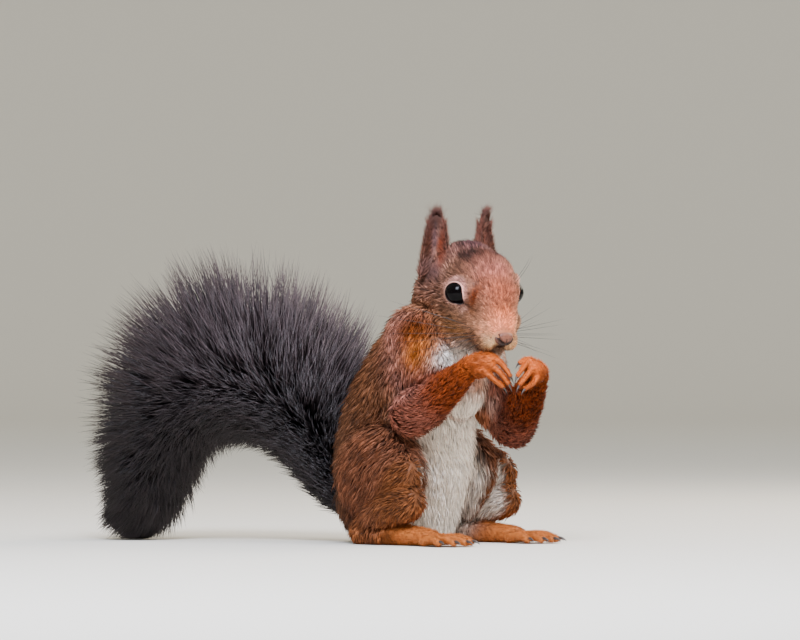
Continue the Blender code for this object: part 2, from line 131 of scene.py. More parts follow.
def limb(mesh, stations, inset, side=(1, 0, 0), place=WORLD, sides=20, steps=6):
    """A limb with round ends: stations of (place, radius across, radius along)."""
    rows = smooth_through([(*spot, across, along) for spot, across, along in stations], steps)
    spots = [Vector(row[:3]) for row in rows]
    last = len(rows) - 1
    rings = []
    for n, row in enumerate(rows):
        ahead = (spots[min(n + 1, last)] - spots[max(n - 1, 0)]).normalized()
        across = (Vector(side) - ahead * ahead.dot(Vector(side))).normalized()
        along = ahead.cross(across)
        wide, deep = row[3] - inset, row[4] - inset
        ends = [(0, 1)]
        if n == 0:
            ends = [(-math.sin(a), math.cos(a)) for a in ROUNDING[::-1]]
        if n == last:
            ends = [(math.sin(a), math.cos(a)) for a in ROUNDING]
        for out, shrink in ends:
            centre = spots[n] + ahead * out * min(wide, deep)
            ring = []
            for k in range(sides):
                angle = 2 * math.pi * k / sides
                offset = across * wide * math.cos(angle) + along * deep * math.sin(angle)
                ring.append(place @ (centre + offset * shrink))
            rings.append(ring)
    join_rings(mesh, rings)


# Masses of the head: centre, radii, degrees tipped forward and depth of the coat.
MIDDLE_MASSES = [
    ((-14.5, 0, 1.2), (17, 14.4, 15.4), 0, 2.1),  # cranium
    ((-5, 0, 5), (13, 14, 11), 0, 0.9),  # forehead
    ((2, 0, 0.8), (13, 13.2, 10.6), 20, 0.7),  # brow
    ((-23, 0, -8), (14, 18, 16.5), 0, 2.6),  # nape
]
PAIRED_MASSES = [
    ((12.3, 4.7, -14.3), (7.1, 4.8, 5.1), 0, 0.4),  # whisker pad
    ((-3, 8.2, -9.5), (15, 8.6, 10.2), 0, 0.8),  # cheek
    ((-6, 7, -14.5), (14, 9, 9.5), 0, 1.2),  # jowl
    ((0, 7.6, 2.0), (9, 7.4, 7.6), 0, 0.5),  # side of the brow
    ((-18, 9, 1), (8, 6, 8), 0, 1.5),  # root of the ear
]
SNOUT = [((-2, 0, -1), 13, 10.5), ((6.5, 0, -5.2), 11.2, 9.8), ((12.0, 0, -8.8), 9.1, 8.3),
         ((15.6, 0, -11.0), 6.6, 5.9)]
JAW = [((-8, 0, -13), 13, 9), ((6, 0, -17), 8.5, 5.5), ((14.5, 0, -20), 4, 3.2)]


def head_flesh(mesh):
    for centre, radii, tilt, depth in MIDDLE_MASSES:
        ball(mesh, centre, radii, depth, tilt, place=HEAD)
    for (ahead, out, up), radii, tilt, depth in PAIRED_MASSES:
        for side in SIDES:
            ball(mesh, (ahead, side * out, up), radii, depth, tilt, place=HEAD)
    limb(mesh, SNOUT, 0.5, side=(0, 1, 0), place=HEAD)
    limb(mesh, JAW, 0.8, side=(0, 1, 0), place=HEAD)


EAR_HEIGHT, EAR_HALF_WIDTH, EAR_TAPER, EAR_WALL = 26.0, 6.2, 0.42, 1.2
EAR_BLUNTNESS = 10
EAR_FACING = 32.0  # degrees that its opening faces outward
EAR_ROOT = (13.4, 17.5, 6)  # out, back and up from the head's place
EAR_LEAN = (-1.8, 1.3)  # how far its tip is out and back of its root
EAR_TIP_HEIGHT = HEAD_PLACE.z + EAR_ROOT[2] + EAR_HEIGHT
EAR_RINGS, EAR_ARC = 20, 16


def ear_axes(side):
    """Base centre, the way it opens, the way across and the lean of an ear."""
    facing = math.radians(EAR_FACING)
    opening = HEAD_TURNED @ Vector((side * math.sin(facing), -math.cos(facing), 0))
    across = HEAD_TURNED @ Vector((-side * math.cos(facing), -math.sin(facing), 0))
    out, back, up = EAR_ROOT
    base = HEAD_PLACE + HEAD_TURNED @ Vector((side * out, back, 0)) + Vector((0, 0, up))
    lean = HEAD_TURNED @ Vector((side * EAR_LEAN[0], EAR_LEAN[1], 0))
    return base, opening, across, lean


def ear_flesh(mesh, side):
    base, opening, across, lean = ear_axes(side)
    arc = [math.pi * k / EAR_ARC for k in range(EAR_ARC + 1)]
    rings = []
    for n in range(EAR_RINGS + 1):
        t = n / EAR_RINGS
        centre = base + lean * t + Vector((0, 0, EAR_HEIGHT * t))
        width = EAR_HALF_WIDTH * (1 - EAR_TAPER * t) * max(0.3, math.sqrt(1 - t ** EAR_BLUNTNESS))
        depth = width * (1.3 - 0.5 * t)
        inside = max(0.2, 1 - EAR_WALL / width)
        spots = [across * width * math.cos(a) - opening * depth * math.sin(a) for a in arc]
        rings.append([centre + spot for spot in spots] + [centre + spot * inside for spot in spots[::-1]])
    join_rings(mesh, rings)


SPINE = [((15, 16), 27, 25), ((13, 32), 31, 28), ((11, 48), 29, 27.5), ((5, 64), 26, 25),
         ((-2, 78), 23, 21), ((-8, 88), 19, 17)]
SHOULDER = Vector((14, -6, 82))
ELBOW = {RIGHT: Vector((-26, -12, 52)), LEFT: Vector((22, -25, 47))}
GRASP = Vector((-9.5, -51, 66))
HAND_TURN = {RIGHT: 32.7, LEFT: 17.7}  # degrees that each faces to the right of the trunk
HAND_DROP = {RIGHT: 0, LEFT: 10}  # degrees that it slopes down to its wrist
WRIST, PALM_END, PALM_HEEL = (15.3, -6.2, 6), (9.3, -2.6, 6.4), (13.2, -2.2, 2.2)
FINGERS = [
    ((12.2, -5.4, 9.4), (7.9, -5.0, 9.8), (4.2, -3.8, 7.6)),
    ((7.8, -3.0, 9.2), (4.7, -1.0, 6.5), (1.5, 0.3, 1.9)),
    ((8.7, -1.5, 5.8), (5.8, 0.5, 2.9), (2.6, 1.2, -1.3)),
    ((11.2, -0.4, 3.0), (8.8, 1.4, 0.4), (5.2, 1.8, -2.4)),
]
FINGER_GAUGE, FINGER_ROOT = 1.15, 1.15  # radius, and how much stouter it is at its root
HAUNCH, KNEE = Vector((23, 6, 28)), Vector((30, -13, 28))
HEEL, BALL = Vector((25, 13, 5)), Vector((27, -22, 3.4))
TOE_LENGTHS = (15, 19, 20.5, 19, 14)
TOE_GAUGE, TOE_ROOT = 1.9, 1.2
TOE_FAN, TOE_GAP = 8.5, 2.7  # degrees and millimetres from each toe to the next
DIGIT_TIP = 0.85


def mirrored(side, spot):
    return Vector((side * spot[0], spot[1], spot[2]))


def hand_place(side, spot):
    """Place of a point in a hand, given as outward, ahead and up from the grasp."""
    turn = Matrix.Rotation(-math.radians(HAND_TURN[side]), 3, "Z")
    drop = Matrix.Rotation(side * math.radians(HAND_DROP[side]), 3, "Y")
    return GRASP + turn @ drop @ Vector((side * spot[0], -spot[1], spot[2]))


def limb_places(side):
    """Shoulder, elbow, wrist, haunch, knee, heel and ball of the foot on one side."""
    hind = (mirrored(side, spot) for spot in (HAUNCH, KNEE, HEEL, BALL))
    return mirrored(side, SHOULDER), ELBOW[side], hand_place(side, WRIST), *hind


def toe(side, n):
    """Start, knuckle, tip and heading of a toe."""
    from_middle = n - 2
    spread = math.radians(from_middle * TOE_FAN + 2) * side
    start = mirrored(side, BALL) + Vector((side * from_middle * TOE_GAP, -1.5, -1.2))
    ahead = Vector((math.sin(spread), -math.cos(spread), 0))
    length = TOE_LENGTHS[n]
    return start, start + ahead * length * 0.5 + UP, start + ahead * length * 0.86 - UP * 0.4, ahead


def digit(mesh, spots, gauge, root, inset):
    """A finger or toe, from its root over its knuckle to its tip."""
    stations = [(spot, gauge * share, gauge * share) for spot, share in zip(spots, (root, 1, DIGIT_TIP))]
    limb(mesh, stations, inset, sides=12)


def body_flesh(mesh):
    limb(mesh, [((-1, -14, 96), 16, 15), ((0, -11, 89), 20, 19), ((0, -8, 80), 22, 21)], 4)
    limb(mesh, [((0, *spot), across, along) for spot, across, along in SPINE], 4, sides=32)
    ball(mesh, (0, 22, 18), (25, 20, 19), 4)
    ball(mesh, (0, -12, 66), (17, 15, 18), 4)
    for side in SIDES:
        shoulder, elbow, wrist, haunch, knee, heel, sole = limb_places(side)
        ball(mesh, shoulder, (12, 17, 16), 3.5)
        limb(mesh, [(shoulder + mirrored(side, (2, -4, -6)), 11, 14),
                    (shoulder + mirrored(side, (3, -11, -22)), 9, 11), (elbow, 7.5, 8)], 3)
        limb(mesh, [(elbow, 8.5, 9), (elbow.lerp(wrist, 0.5) - UP, 7, 7.8), (wrist, 4.4, 4.8)], 1.7)
        ball(mesh, haunch, (13.5, 23, 22), 3.5, 12, "X")
        limb(mesh, [(haunch, 11, 17), (knee.lerp(haunch, 0.4), 10, 14), (knee, 8, 10)], 3)
        limb(mesh, [(knee + Vector((0, -1, -10)), 8, 9), (knee.lerp(heel, 0.6) - UP * 2, 7.5, 8),
                    (heel + Vector((0, -1, 4)), 5.5, 6)], 2.2)
        limb(mesh, [(heel, 5, 5), (heel.lerp(sole, 0.5), 5.4, 4.6), (sole, 6.4, 3.6)], 0.4)
        for n in range(len(TOE_LENGTHS)):
            digit(mesh, toe(side, n)[:3], TOE_GAUGE, TOE_ROOT, 0.2)


def hand_flesh(mesh, side):
    wrist, palm_end, heel = (hand_place(side, spot) for spot in (WRIST, PALM_END, PALM_HEEL))
    limb(mesh, [(wrist, 3.8, 4.2), (wrist.lerp(palm_end, 0.5), 3.8, 4.8), (palm_end, 2.6, 4.2)], 0.2)
    limb(mesh, [(heel.lerp(wrist, 0.3), 2.6, 2.4), (heel.lerp(palm_end, 0.3), 2.8, 2.2)], 0.1)
    for finger in FINGERS:
        digit(mesh, [hand_place(side, spot) for spot in finger], FINGER_GAUGE, FINGER_ROOT, 0.05)


# The tail's bone, as (distance behind its root, height over it), swung to the animal's right.
TAIL_ROOT = Vector((0, 36, 15))
TAIL_SWING = math.radians(25)
TAIL_BACK = Vector((-math.sin(TAIL_SWING), math.cos(TAIL_SWING), 0))
TAIL_FLANK = Vector((math.cos(TAIL_SWING), math.sin(TAIL_SWING), 0))
TAIL_CORE = [
    (0, 0), (9, 10), (16, 22), (25, 33), (37, 41), (50, 45), (63, 44),
    (74, 38), (82, 28), (87, 17), (90, 6), (95, -4), (102, -13),
]
# Reach of the hair from the bone at those points: outer side, inner side and either flank.
TAIL_HAIR = [
    (9, 8, 9), (18, 12, 17), (31, 15, 24), (46, 17, 28), (55, 19, 30), (56, 21, 31), (54, 21, 30),
    (43, 21, 29), (33, 20, 27), (26, 18, 25), (22, 17, 22), (17, 14, 17), (9, 9, 9),
]
TAIL_BONE_RADIUS = 4.0


def tail_bone():
    return [TAIL_ROOT + TAIL_BACK * back + Vector((0, 0, up)) for back, up in TAIL_CORE]


def tail_flesh(mesh):
    spots = [TAIL_ROOT - TAIL_BACK * 12 - UP * 2, *tail_bone()[:-1]]
    gauges = [TAIL_BONE_RADIUS * (1 - 0.5 * n / len(spots)) for n in range(len(spots))]
    limb(mesh, list(zip(spots, gauges, gauges)), 0, side=TAIL_FLANK)


def points_of(data):
    points = np.empty(len(data.vertices) * 3, np.float32)
    data.vertices.foreach_get("co", points)
    return points.reshape(-1, 3).astype(float)


def triangles_of(data):
    data.calc_loop_triangles()
    corners = np.empty(len(data.loop_triangles) * 3, np.int32)
    data.loop_triangles.foreach_get("vertices", corners)
    return corners.reshape(-1, 3)


def evaluated(thing):
    return bpy.data.meshes.new_from_object(thing.evaluated_get(bpy.context.evaluated_depsgraph_get()))


def smoothed(points, edges, rounds, share):
    """Draws each point towards the mean of its neighbours, by its own share."""
    count = np.bincount(edges.ravel(), minlength=len(points))[:, None]
    for _ in range(rounds):
        total = np.stack([
            np.bincount(edges[:, 0], points[edges[:, 1], k], len(points))
            + np.bincount(edges[:, 1], points[edges[:, 0], k], len(points)) for k in range(3)], axis=1)
        points = points + (total / count - points) * share[:, None]
    return points


SKIN_VOXEL = 0.5
SMOOTHING_ROUNDS = 14
FOOT_HEIGHT, HAND_REACH = 9.0, 19.0  # under and within these the digits are thin, and smoothed less
FINE_REACH = 31.0  # head, ears and hands keep their full detail within this of the face
FINE_CENTRE = Vector((-10, -40, 88))
EARS_ABOVE = 108.0
KEPT_ELSEWHERE = 0.42  # share of the faces


def fused_flesh():
    """All masses melted into one closed surface, as a mesh in millimetres."""
    mesh = bmesh.new()
    head_flesh(mesh)
    body_flesh(mesh)
    tail_flesh(mesh)
    for side in SIDES:
        ear_flesh(mesh, side)
        hand_flesh(mesh, side)
    bmesh.ops.recalc_face_normals(mesh, faces=mesh.faces)
    data = bpy.data.meshes.new("flesh")
    mesh.to_mesh(data)
    mesh.free()
    flesh = bpy.data.objects.new("flesh", data)
    bpy.context.scene.collection.objects.link(flesh)
    melt = flesh.modifiers.new("melt", "REMESH")
    melt.mode = "VOXEL"
    melt.voxel_size = SKIN_VOXEL
    flesh.data = evaluated(flesh)
    flesh.modifiers.clear()
    points = points_of(flesh.data)
    edges = np.empty(len(flesh.data.edges) * 2, np.int32)
    flesh.data.edges.foreach_get("vertices", edges)
    near_face = np.linalg.norm(points - np.array(FINE_CENTRE), axis=1) < FINE_REACH
    slim = (points[:, 2] < FOOT_HEIGHT) | (np.linalg.norm(points - np.array(GRASP), axis=1) < HAND_REACH)
    points = smoothed(points, edges.reshape(-1, 2), SMOOTHING_ROUNDS, np.where(slim, 0.12, 0.5))
    flesh.data.vertices.foreach_set("co", points.ravel())
    fine = near_face | ((points[:, 2] > EARS_ABOVE) & (points[:, 1] < 5))
    flesh.vertex_groups.new(name="coarse").add(np.nonzero(~fine)[0].tolist(), 1.0, "REPLACE")
    thin = flesh.modifiers.new("thin", "DECIMATE")
    thin.vertex_group = "coarse"
    thin.ratio = KEPT_ELSEWHERE
    thinned = evaluated(flesh)
    bpy.data.objects.remove(flesh)
    return thinned


def unit(vectors):
    return vectors / np.maximum(np.linalg.norm(vectors, axis=-1, keepdims=True), 1e-9)


def ramp(value, low, high):
    """Rises smoothly from 0 at low to 1 at high."""
    t = np.clip((value - low) / (high - low), 0, 1)
    return t * t * (3 - 2 * t)


def into_head(points):
    """Counts points forward, left and up in the head."""
    return (points - np.array(HEAD_PLACE)) @ np.array(HEAD.to_3x3())


def out_of_head(spots):
    """Puts places in the head back among the body's."""
    return spots @ np.array(HEAD.to_3x3()).T + np.array(HEAD_PLACE)


def folded(spots, across=1):
    """Both sides laid over each other."""
    laid = spots.copy()
    laid[:, across] = np.abs(laid[:, across])
    return laid


def along_line(points, start, end):
    """How far each point is along a straight line, from 0 to 1, and how far from it."""
    start, end = np.array(start), np.array(end)
    along = np.clip((points - start) @ (end - start) / ((end - start) @ (end - start)), 0, 1)
    return along, np.linalg.norm(points - start - along[:, None] * (end - start), axis=1)


def distance_to_line(spots, line):
    return np.min([along_line(spots, low, high)[1] for low, high in zip(line, line[1:])], axis=0)


# Each eyeball's seat, and the opening between its lids as degrees off the way that it looks.
EYE_SET_OUT = 0.3  # the ball bulges this far past its socket
EYE_COVER = 0.4  # the hide lies over the rest of the ball by this much
EYE_FORWARD, EYE_UP = 54.0, 8.0  # degrees of the look outward from straight ahead, and up
LID_OPEN, LID_OPEN_BEHIND = 43.0, 3.0
LID_CREAM = "#f0ae9f"
LID_UNDER, LID_THICK = 0.9, 1.15  # the hide's depth under the ball at a lid's edge, and its rise from there
BROW_OVER_EYE, BROW_IN_FRONT = 1.2, 1.3
CANTHUS_OPEN, CANTHUS_AT, CANTHUS_SPREAD = 16.0, -36.0, 19.0
LID_STRAIGHT, LID_STRAIGHT_AT, LID_STRAIGHT_SPREAD = 8.0, 28.0, 34.0  # the upper front edge is drawn in


def eye_axes(side):
    """Centre of an eyeball and its own axes: outward along the look, to the front, and up."""
    out, up = math.radians(EYE_FORWARD), math.radians(EYE_UP)
    look = np.array((math.cos(out) * math.cos(up), side * math.sin(out) * math.cos(up), math.sin(up)))
    front = unit(np.array((1.0, 0, 0)) - look * look[0])
    above = np.cross(look, front) * side * -1
    centre = np.array((EYE_AHEAD, side * EYE_OUT, 0)) + look * EYE_SET_OUT
    return centre, look, front, above


def lid_edge(turn):
    """Degrees from the look to the lid's edge, at an angle round the eye from its front."""
    from_canthus = (np.degrees(turn) - CANTHUS_AT) / CANTHUS_SPREAD
    from_straight = (np.degrees(turn) - LID_STRAIGHT_AT) / LID_STRAIGHT_SPREAD
    round_edge = LID_OPEN - LID_OPEN_BEHIND * 0.5 * (np.cos(turn) - 1)
    return round_edge + CANTHUS_OPEN * np.exp(-from_canthus ** 2) - LID_STRAIGHT * np.exp(-from_straight ** 2)


def round_eye(spots, side):
    """Distance, degrees off the look and angle round it, of places in the head."""
    centre, look, front, above = eye_axes(side)
    away = spots - centre
    distance = np.linalg.norm(away, axis=1)
    off = np.degrees(np.arccos(np.clip(away @ look / np.maximum(distance, 1e-9), -1, 1)))
    return distance, off, np.arctan2(away @ above, away @ front)


def set_in_eyes(spots):
    """Sinks the hide under each lid's edge and lifts it into a brim round the ball."""
    for side in SIDES:
        centre = eye_axes(side)[0]
        distance, off, turn = round_eye(spots, side)
        past = off - lid_edge(turn)
        front = 0.5 + 0.5 * np.cos(turn - 0.5)
        brow = (BROW_OVER_EYE + BROW_IN_FRONT * front) * ramp(past, 8, 22)
        brim = EYE_RADIUS - LID_UNDER + LID_THICK * ramp(past, 3, 9) + brow
        share = (1 - ramp(past, 12 + 6 * front, 34 + 12 * front)) * (distance < EYE_RADIUS + 6)
        target = distance + (brim - distance) * share
        target = np.where(past > 9, np.maximum(target, EYE_RADIUS + EYE_COVER), target)
        spots = centre + (spots - centre) * (target / np.maximum(distance, 1e-9))[:, None]
    return spots


MOUTH = [(17.0, 0, -17.5), (15.7, 3.5, -18.2), (14.4, 7.4, -17.5), (9.5, 9.6, -16.6)]
MOUTH_DEEP, MOUTH_WIDE = 0.9, 0.8
TEAR_LINE = [(5.4, 10.9, -2.6), (8.8, 9.8, -3.4), (12.6, 7.6, -4.0)]
NOSE_AT, NOSE_RADII = (19.9, 0, -11.8), (2.3, 4.1, 2.9)


def on_tail(points):
    """Whether points of the hide are on the bone of the tail."""
    behind = (points - np.array(TAIL_ROOT)) @ np.array(TAIL_BACK)
    return (behind > 1) & (distance_to_line(points, tail_bone()) < TAIL_BONE_RADIUS + 1.5)


def srgb(code):
    """A colour written as sRGB hex, turned to linear."""
    parts = np.array([int(code[k:k + 2], 16) / 255 for k in (1, 3, 5)])
    return np.where(parts <= 0.04045, parts / 12.92, ((parts + 0.055) / 1.055) ** 2.4)


def add(material, kind, feeds=None, **settings):
    """Adds a node to a material: settings are properties or sockets, feeds are links by socket."""
    made = material.node_tree.nodes.new(kind)
    for name, value in settings.items():
        socket = made.inputs.get(name.replace("_", " "))
        if socket is None:
            setattr(made, name, value)
        else:
            socket.default_value = value
    for name, source in (feeds or {}).items():
        material.node_tree.links.new(source, made.inputs[name])
    return made


def finish_of(name, roughness, colour=None, **settings):
    """A material and its shader, in one colour or in those painted on a piece's points."""
    material = bpy.data.materials.new(name)
    material.use_nodes = True
    shader = material.node_tree.nodes["Principled BSDF"]
    shader.inputs["Roughness"].default_value = roughness
    for socket, value in settings.items():
        shader.inputs[socket.replace("_", " ")].default_value = value
    if colour:
        shader.inputs["Base Color"].default_value = (*srgb(colour), 1)
    else:
        paint = add(material, "ShaderNodeAttribute", attribute_name="coat")
        material.node_tree.links.new(paint.outputs["Color"], shader.inputs["Base Color"])
    return material, shader


def solid(name, points, triangles, finish, colours=None, uvs=None):
    """A piece from points in millimetres of the modelling frame, with its colours and map."""
    data = bpy.data.meshes.new(name)
    data.vertices.add(len(points))
    world = (points + np.array(SHIFT)) * MM
    data.vertices.foreach_set("co", world.astype(np.float32).ravel())
    triangles = np.ascontiguousarray(triangles, np.int32)
    data.loops.add(triangles.size)
    data.loops.foreach_set("vertex_index", triangles.ravel())
    data.polygons.add(len(triangles))
    data.polygons.foreach_set("loop_start", np.arange(0, triangles.size, 3, dtype=np.int32))
    data.update(calc_edges=True)
    data.shade_smooth()
    if colours is not None:
        paint = data.color_attributes.new("coat", "FLOAT_COLOR", "POINT")
        rows = np.column_stack([colours, np.ones(len(colours))])
        paint.data.foreach_set("color", rows.astype(np.float32).ravel())
    if uvs is not None:
        chart = data.uv_layers.new(name="OFBake")
        chart.data.foreach_set("uv", uvs[triangles.ravel()].astype(np.float32).ravel())
    piece = bpy.data.objects.new(name, data)
    bpy.context.scene.collection.objects.link(piece)
    data.materials.append(finish)
    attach(piece, "root")
    return piece


# The hide's parts: start, end, radii at both, hair length, half width and tufts to the square millimetre.
HAIR_LONG, HAIR_WIDE, HAIR_DENSE = 4, 5, 6  # columns of the last three
BONES = {
    "head": (HEAD @ Vector((10, 0, -10)), HEAD @ Vector((-20, 0, -4)), 9, 14, 3, 0.18, 11),
    "neck": (Vector((0, -16, 97)), Vector((0, -9, 80)), 14, 18, 6.5, 0.24, 4.2),
    "chest": (Vector((0, -14, 74)), Vector((0, -8, 54)), 14, 17, 7, 0.25, 3.4),
    "back": (Vector((0, 0, 82)), Vector((0, 12, 40)), 17, 24, 8, 0.26, 2.9),
    "rump": (Vector((0, 14, 40)), Vector((0, 22, 14)), 24, 20, 8, 0.28, 2.3),
    "belly": (Vector((0, 0, 52)), Vector((0, -2, 20)), 23, 22, 7.5, 0.28, 2.4),
}
for side, tag in SIDES.items():
    ear_base, _, _, ear_tilt = ear_axes(side)
    shoulder, elbow, wrist, haunch, knee, heel, sole = limb_places(side)
    thigh_top, thigh_end = haunch + Vector((0, -4, 10)), haunch + mirrored(side, (2, 4, -14))
    BONES["ear" + tag] = (ear_base, ear_base + ear_tilt + Vector((0, 0, EAR_HEIGHT)), 5, 3, 2.6, 0.2, 9)
    BONES["upper_arm" + tag] = (shoulder, elbow, 11, 6, 7, 0.25, 3.4)
    BONES["forearm" + tag] = (elbow, wrist, 7, 3.4, 4.2, 0.22, 5)
    BONES["hand" + tag] = (wrist, hand_place(side, PALM_END), 4, 3.4, 1.5, 0.15, 9)
    BONES["thigh" + tag] = (thigh_top, thigh_end, 13, 14, 7, 0.27, 2.7)
    BONES["shank" + tag] = (knee - UP * 6, heel + UP * 3, 7, 4.5, 4.5, 0.24, 3.2)
    BONES["foot" + tag] = (heel, sole + Vector((0, -14, -2)), 4.6, 4, 1.8, 0.17, 7)
PARTS = np.array([name.replace("_left", "").replace("_right", "") for name in BONES])
BLEND = 2.2  # how softly the parts of the hide run into each other
HAND_NEAR = 32.0  # only this close to the grasp is a point asked whether it is on a hand or on the lips


def surface_of(*makers):
    """The surfaces that makers of flesh build, ready to be measured to."""
    mesh = bmesh.new()
    for make, *side in makers:
        make(mesh, *side)
    tree = BVHTree.FromBMesh(mesh)
    mesh.free()
    return tree


HEAD_SURFACE = surface_of((head_flesh,))
HAND_SURFACE = surface_of((hand_flesh, RIGHT), (hand_flesh, LEFT))


def on_hand(points):
    """1 on the hands and 0 on the lips beside them."""
    gap = np.full(len(points), 9.0)
    for n in np.nonzero(np.linalg.norm(points - np.array(GRASP), axis=1) < HAND_NEAR)[0].tolist():
        spot = Vector(points[n])
        gap[n] = HAND_SURFACE.find_nearest(spot)[3] - HEAD_SURFACE.find_nearest(spot)[3]
    return 1 - ramp(gap, -0.4, 0.4)


def shares_of(points):
    """How much each part of the hide has in each point."""
    rows = []
    for start, end, low, high, *_ in BONES.values():
        along, reach = along_line(points, start, end)
        rows.append(np.exp(-np.maximum(reach - low - (high - low) * along, -2) / BLEND))
    shares = np.array(rows).T + 1e-12
    hand = on_hand(points)[:, None]
    shares[:, PARTS == "head"] *= 1.002 - hand
    shares[:, PARTS == "hand"] *= 0.002 + hand
    return shares / shares.sum(axis=1, keepdims=True)


def share_in(shares, *parts):
    """How much of each point is in the named parts."""
    return shares[:, np.isin(PARTS, parts)].sum(axis=1)


def blend(base, colour, share):
    return base + (colour - base) * share[:, None]


def all_over(points, code):
    return np.repeat(srgb(code)[None], len(points), axis=0)


def nearness(spots, centre, radii):
    """1 at a centre, fading over the radii."""
    return np.exp(-(((spots - np.array(centre)) / np.array(radii)) ** 2).sum(axis=1))


def marked(colour, spots, marks, gain, within=1):
    """Lays a list of markings over colours."""
    for centre, radii, code, strength in marks:
        near = nearness(spots, centre, radii)
        colour = blend(colour, srgb(code), np.clip(near * strength * gain, 0, 1) * within)
    return colour


# Markings of the head, as (forward, out, up) place, radii there, colour and strength.
HEAD_MARKS = [
    ((-14, 0, 12), (9, 11, 8), "#5f414c", 0.9),  # crown
    ((-4, 0, 13), (7, 9, 5), "#5e3633", 0.8),  # before the crown
    ((4, 0, 9), (8, 9, 6), "#c97a67", 0.9),  # forehead
    ((-5.5, 6.5, 13), (5, 4.5, 4), "#3a282f", 0.95),  # dark patch between ear and brow
    ((10, 0, 4), (7, 9, 6), "#b46345", 0.9),  # brow
    ((17, 0, -4), (6, 6, 6), "#ca6b41", 0.95),  # bridge of the nose
    ((18, 3.5, -7), (4.5, 4.5, 3.5), "#ff9969", 0.9),  # top of the muzzle
    ((-6, 13, -6), (9, 6, 8), "#77574a", 0.85),  # cheek
    ((-17, 13, -3), (9, 8, 11), "#957068", 0.9),  # before the ear
    ((2, 12, -13), (9, 6, 5), "#a46c38", 0.7),  # lower cheek
    ((8.1, 9.8, 1.0), (1.9, 2.8, 5.6), "#763008", 0.95),  # streak before the eye
    ((9.5, 8.5, -5), (2.2, 3, 3.2), "#7d4a2a", 0.7),  # tear line under it
    ((14, 6.5, -10), (4.4, 4, 3.4), "#f5ad84", 0.9),  # whisker bed
    ((18.5, 4.5, -14.5), (4, 3, 3), "#fcca94", 0.8),  # lip
    ((10, 8, -18.5), (7, 5, 2), "#997860", 0.8),  # edge of the mouth
    ((2, 4, -24), (12, 8, 5), "#f1e8de", 0.95),  # throat
    ((14, 0, -22.5), (5, 4, 2.6), "#e4cba8", 0.9),  # chin
    # The cleft under the nose is painted shade.
    ((19, 0, -15.2), (3, 2.6, 1.2), "#40241a", 0.95),  # cleft under the nose
]
# Markings of the body, as (out, y, z) place in the modelling frame, radii, colour and strength.
BODY_MARKS = [
    ((21, -11, 89), (7, 7, 5), "#783811", 0.9),  # behind the cheek
    ((21, -15, 80), (8, 8, 7), "#b56421", 0.9),  # ruff
    ((18, -23, 68), (9, 8, 6), "#7f2e05", 0.9),  # front of the shoulder
    ((13, -21, 76.5), (6, 5, 4.5), "#fffaf2", 1.0),  # side of the throat
    ((7.5, -21, 77.5), (7, 6, 6.5), "#fff3ea", 1.0),  # throat
]
# The forearm's colour is its own orange-brown darkened by painted shade.
PARTS_COLOURS = {
    "head": "#a1735a", "neck": "#9c6540", "chest": "#9c531f", "back": "#684028", "rump": "#5b3c2a",
    "belly": "#f3e8da", "ear": "#714235", "upper_arm": "#9c6658", "forearm": "#6c2a03", "hand": "#db6b23",
    "thigh": "#73452f", "shank": "#814c2a", "foot": "#b8672c",
}
# Markings of an ear's inner side: (height, place across) as shares of it, radii, colour and strength.
EAR_MARKS = [
    ((0.45, -0.8), (0.3, 0.4), "#552d1d", 0.9),  # rear edge
    ((0.55, -0.1), (0.26, 0.34), "#72514e", 0.9),  # bare-looking hollow
    ((0.36, 0.6), (0.3, 0.32), "#863110", 1.0),  # front edge
    ((0.7, 0.45), (0.14, 0.2), "#8d6a5c", 0.7),  # pale hair above it
    ((0.16, -0.45), (0.12, 0.4), "#755654", 0.8),  # low in the hollow
    # The foot of the hollow and the hood are painted shade.
    ((0.0, 0.1), (0.13, 0.9), "#3c2024", 0.9),  # foot of the hollow
    ((0.82, -0.1), (0.07, 0.34), "#2e1f1c", 0.9),  # hood
    ((0.62, 1.0), (0.3, 0.16), "#45291f", 0.9),  # rim
]
EAR_DARK = "#4a2e28"


def ear_colours(points, normals, side):
    """An ear's colours: brown outside, and mauve, orange and dark within, with painted shade at the foot of
    its hollow and under its hood.
    """
    base, opening, across, lean = (np.array(axis) for axis in ear_axes(side))
    t = (points[:, 2] - base[2]) / EAR_HEIGHT
    centre = base + lean * t[:, None]
    width = EAR_HALF_WIDTH * (1 - EAR_TAPER * np.clip(t, 0, 1))
    edge = (points - centre) @ across / width
    colour = blend(all_over(points, PARTS_COLOURS["ear"]), srgb(EAR_DARK), ramp(t, 0.7, 1.0) * 0.8)
    return marked(colour, np.column_stack([t, edge]), EAR_MARKS, 1.3, ramp(normals @ opening, -0.1, 0.3))


def head_colours(points):
    """The head's colours, with the pale rings of the lids, the tear lines, and painted shade in the crease of
    the mouth.
    """
    spots = into_head(points)
    level = folded(spots)
    head = marked(all_over(points, PARTS_COLOURS["head"]), level, HEAD_MARKS, 1.3)
    for side in SIDES:
        distance, off, turn = round_eye(spots, side)
        past = off - lid_edge(turn)
        broad = 8 + 4.5 * np.cos(turn - 1.0)
        ring = ramp(past, 0, 4) * (1 - ramp(past, broad, broad + 8)) * (distance < EYE_RADIUS + 4)
        at_corner = np.exp(-((np.degrees(turn) - CANTHUS_AT) / 26) ** 2)
        head = blend(head, srgb(LID_CREAM), ring * (0.78 + 0.2 * np.sin(turn)) * (1 - 0.75 * at_corner))
    head = blend(head, srgb("#4a2a1c"), np.exp(-(distance_to_line(level, TEAR_LINE) / 0.5) ** 2) * 0.7)
    # Painted shade darkens the crease of the mouth.
    return blend(head, srgb("#3a221b"), np.exp(-(distance_to_line(level, MOUTH) / 1.1) ** 2) * 0.95)


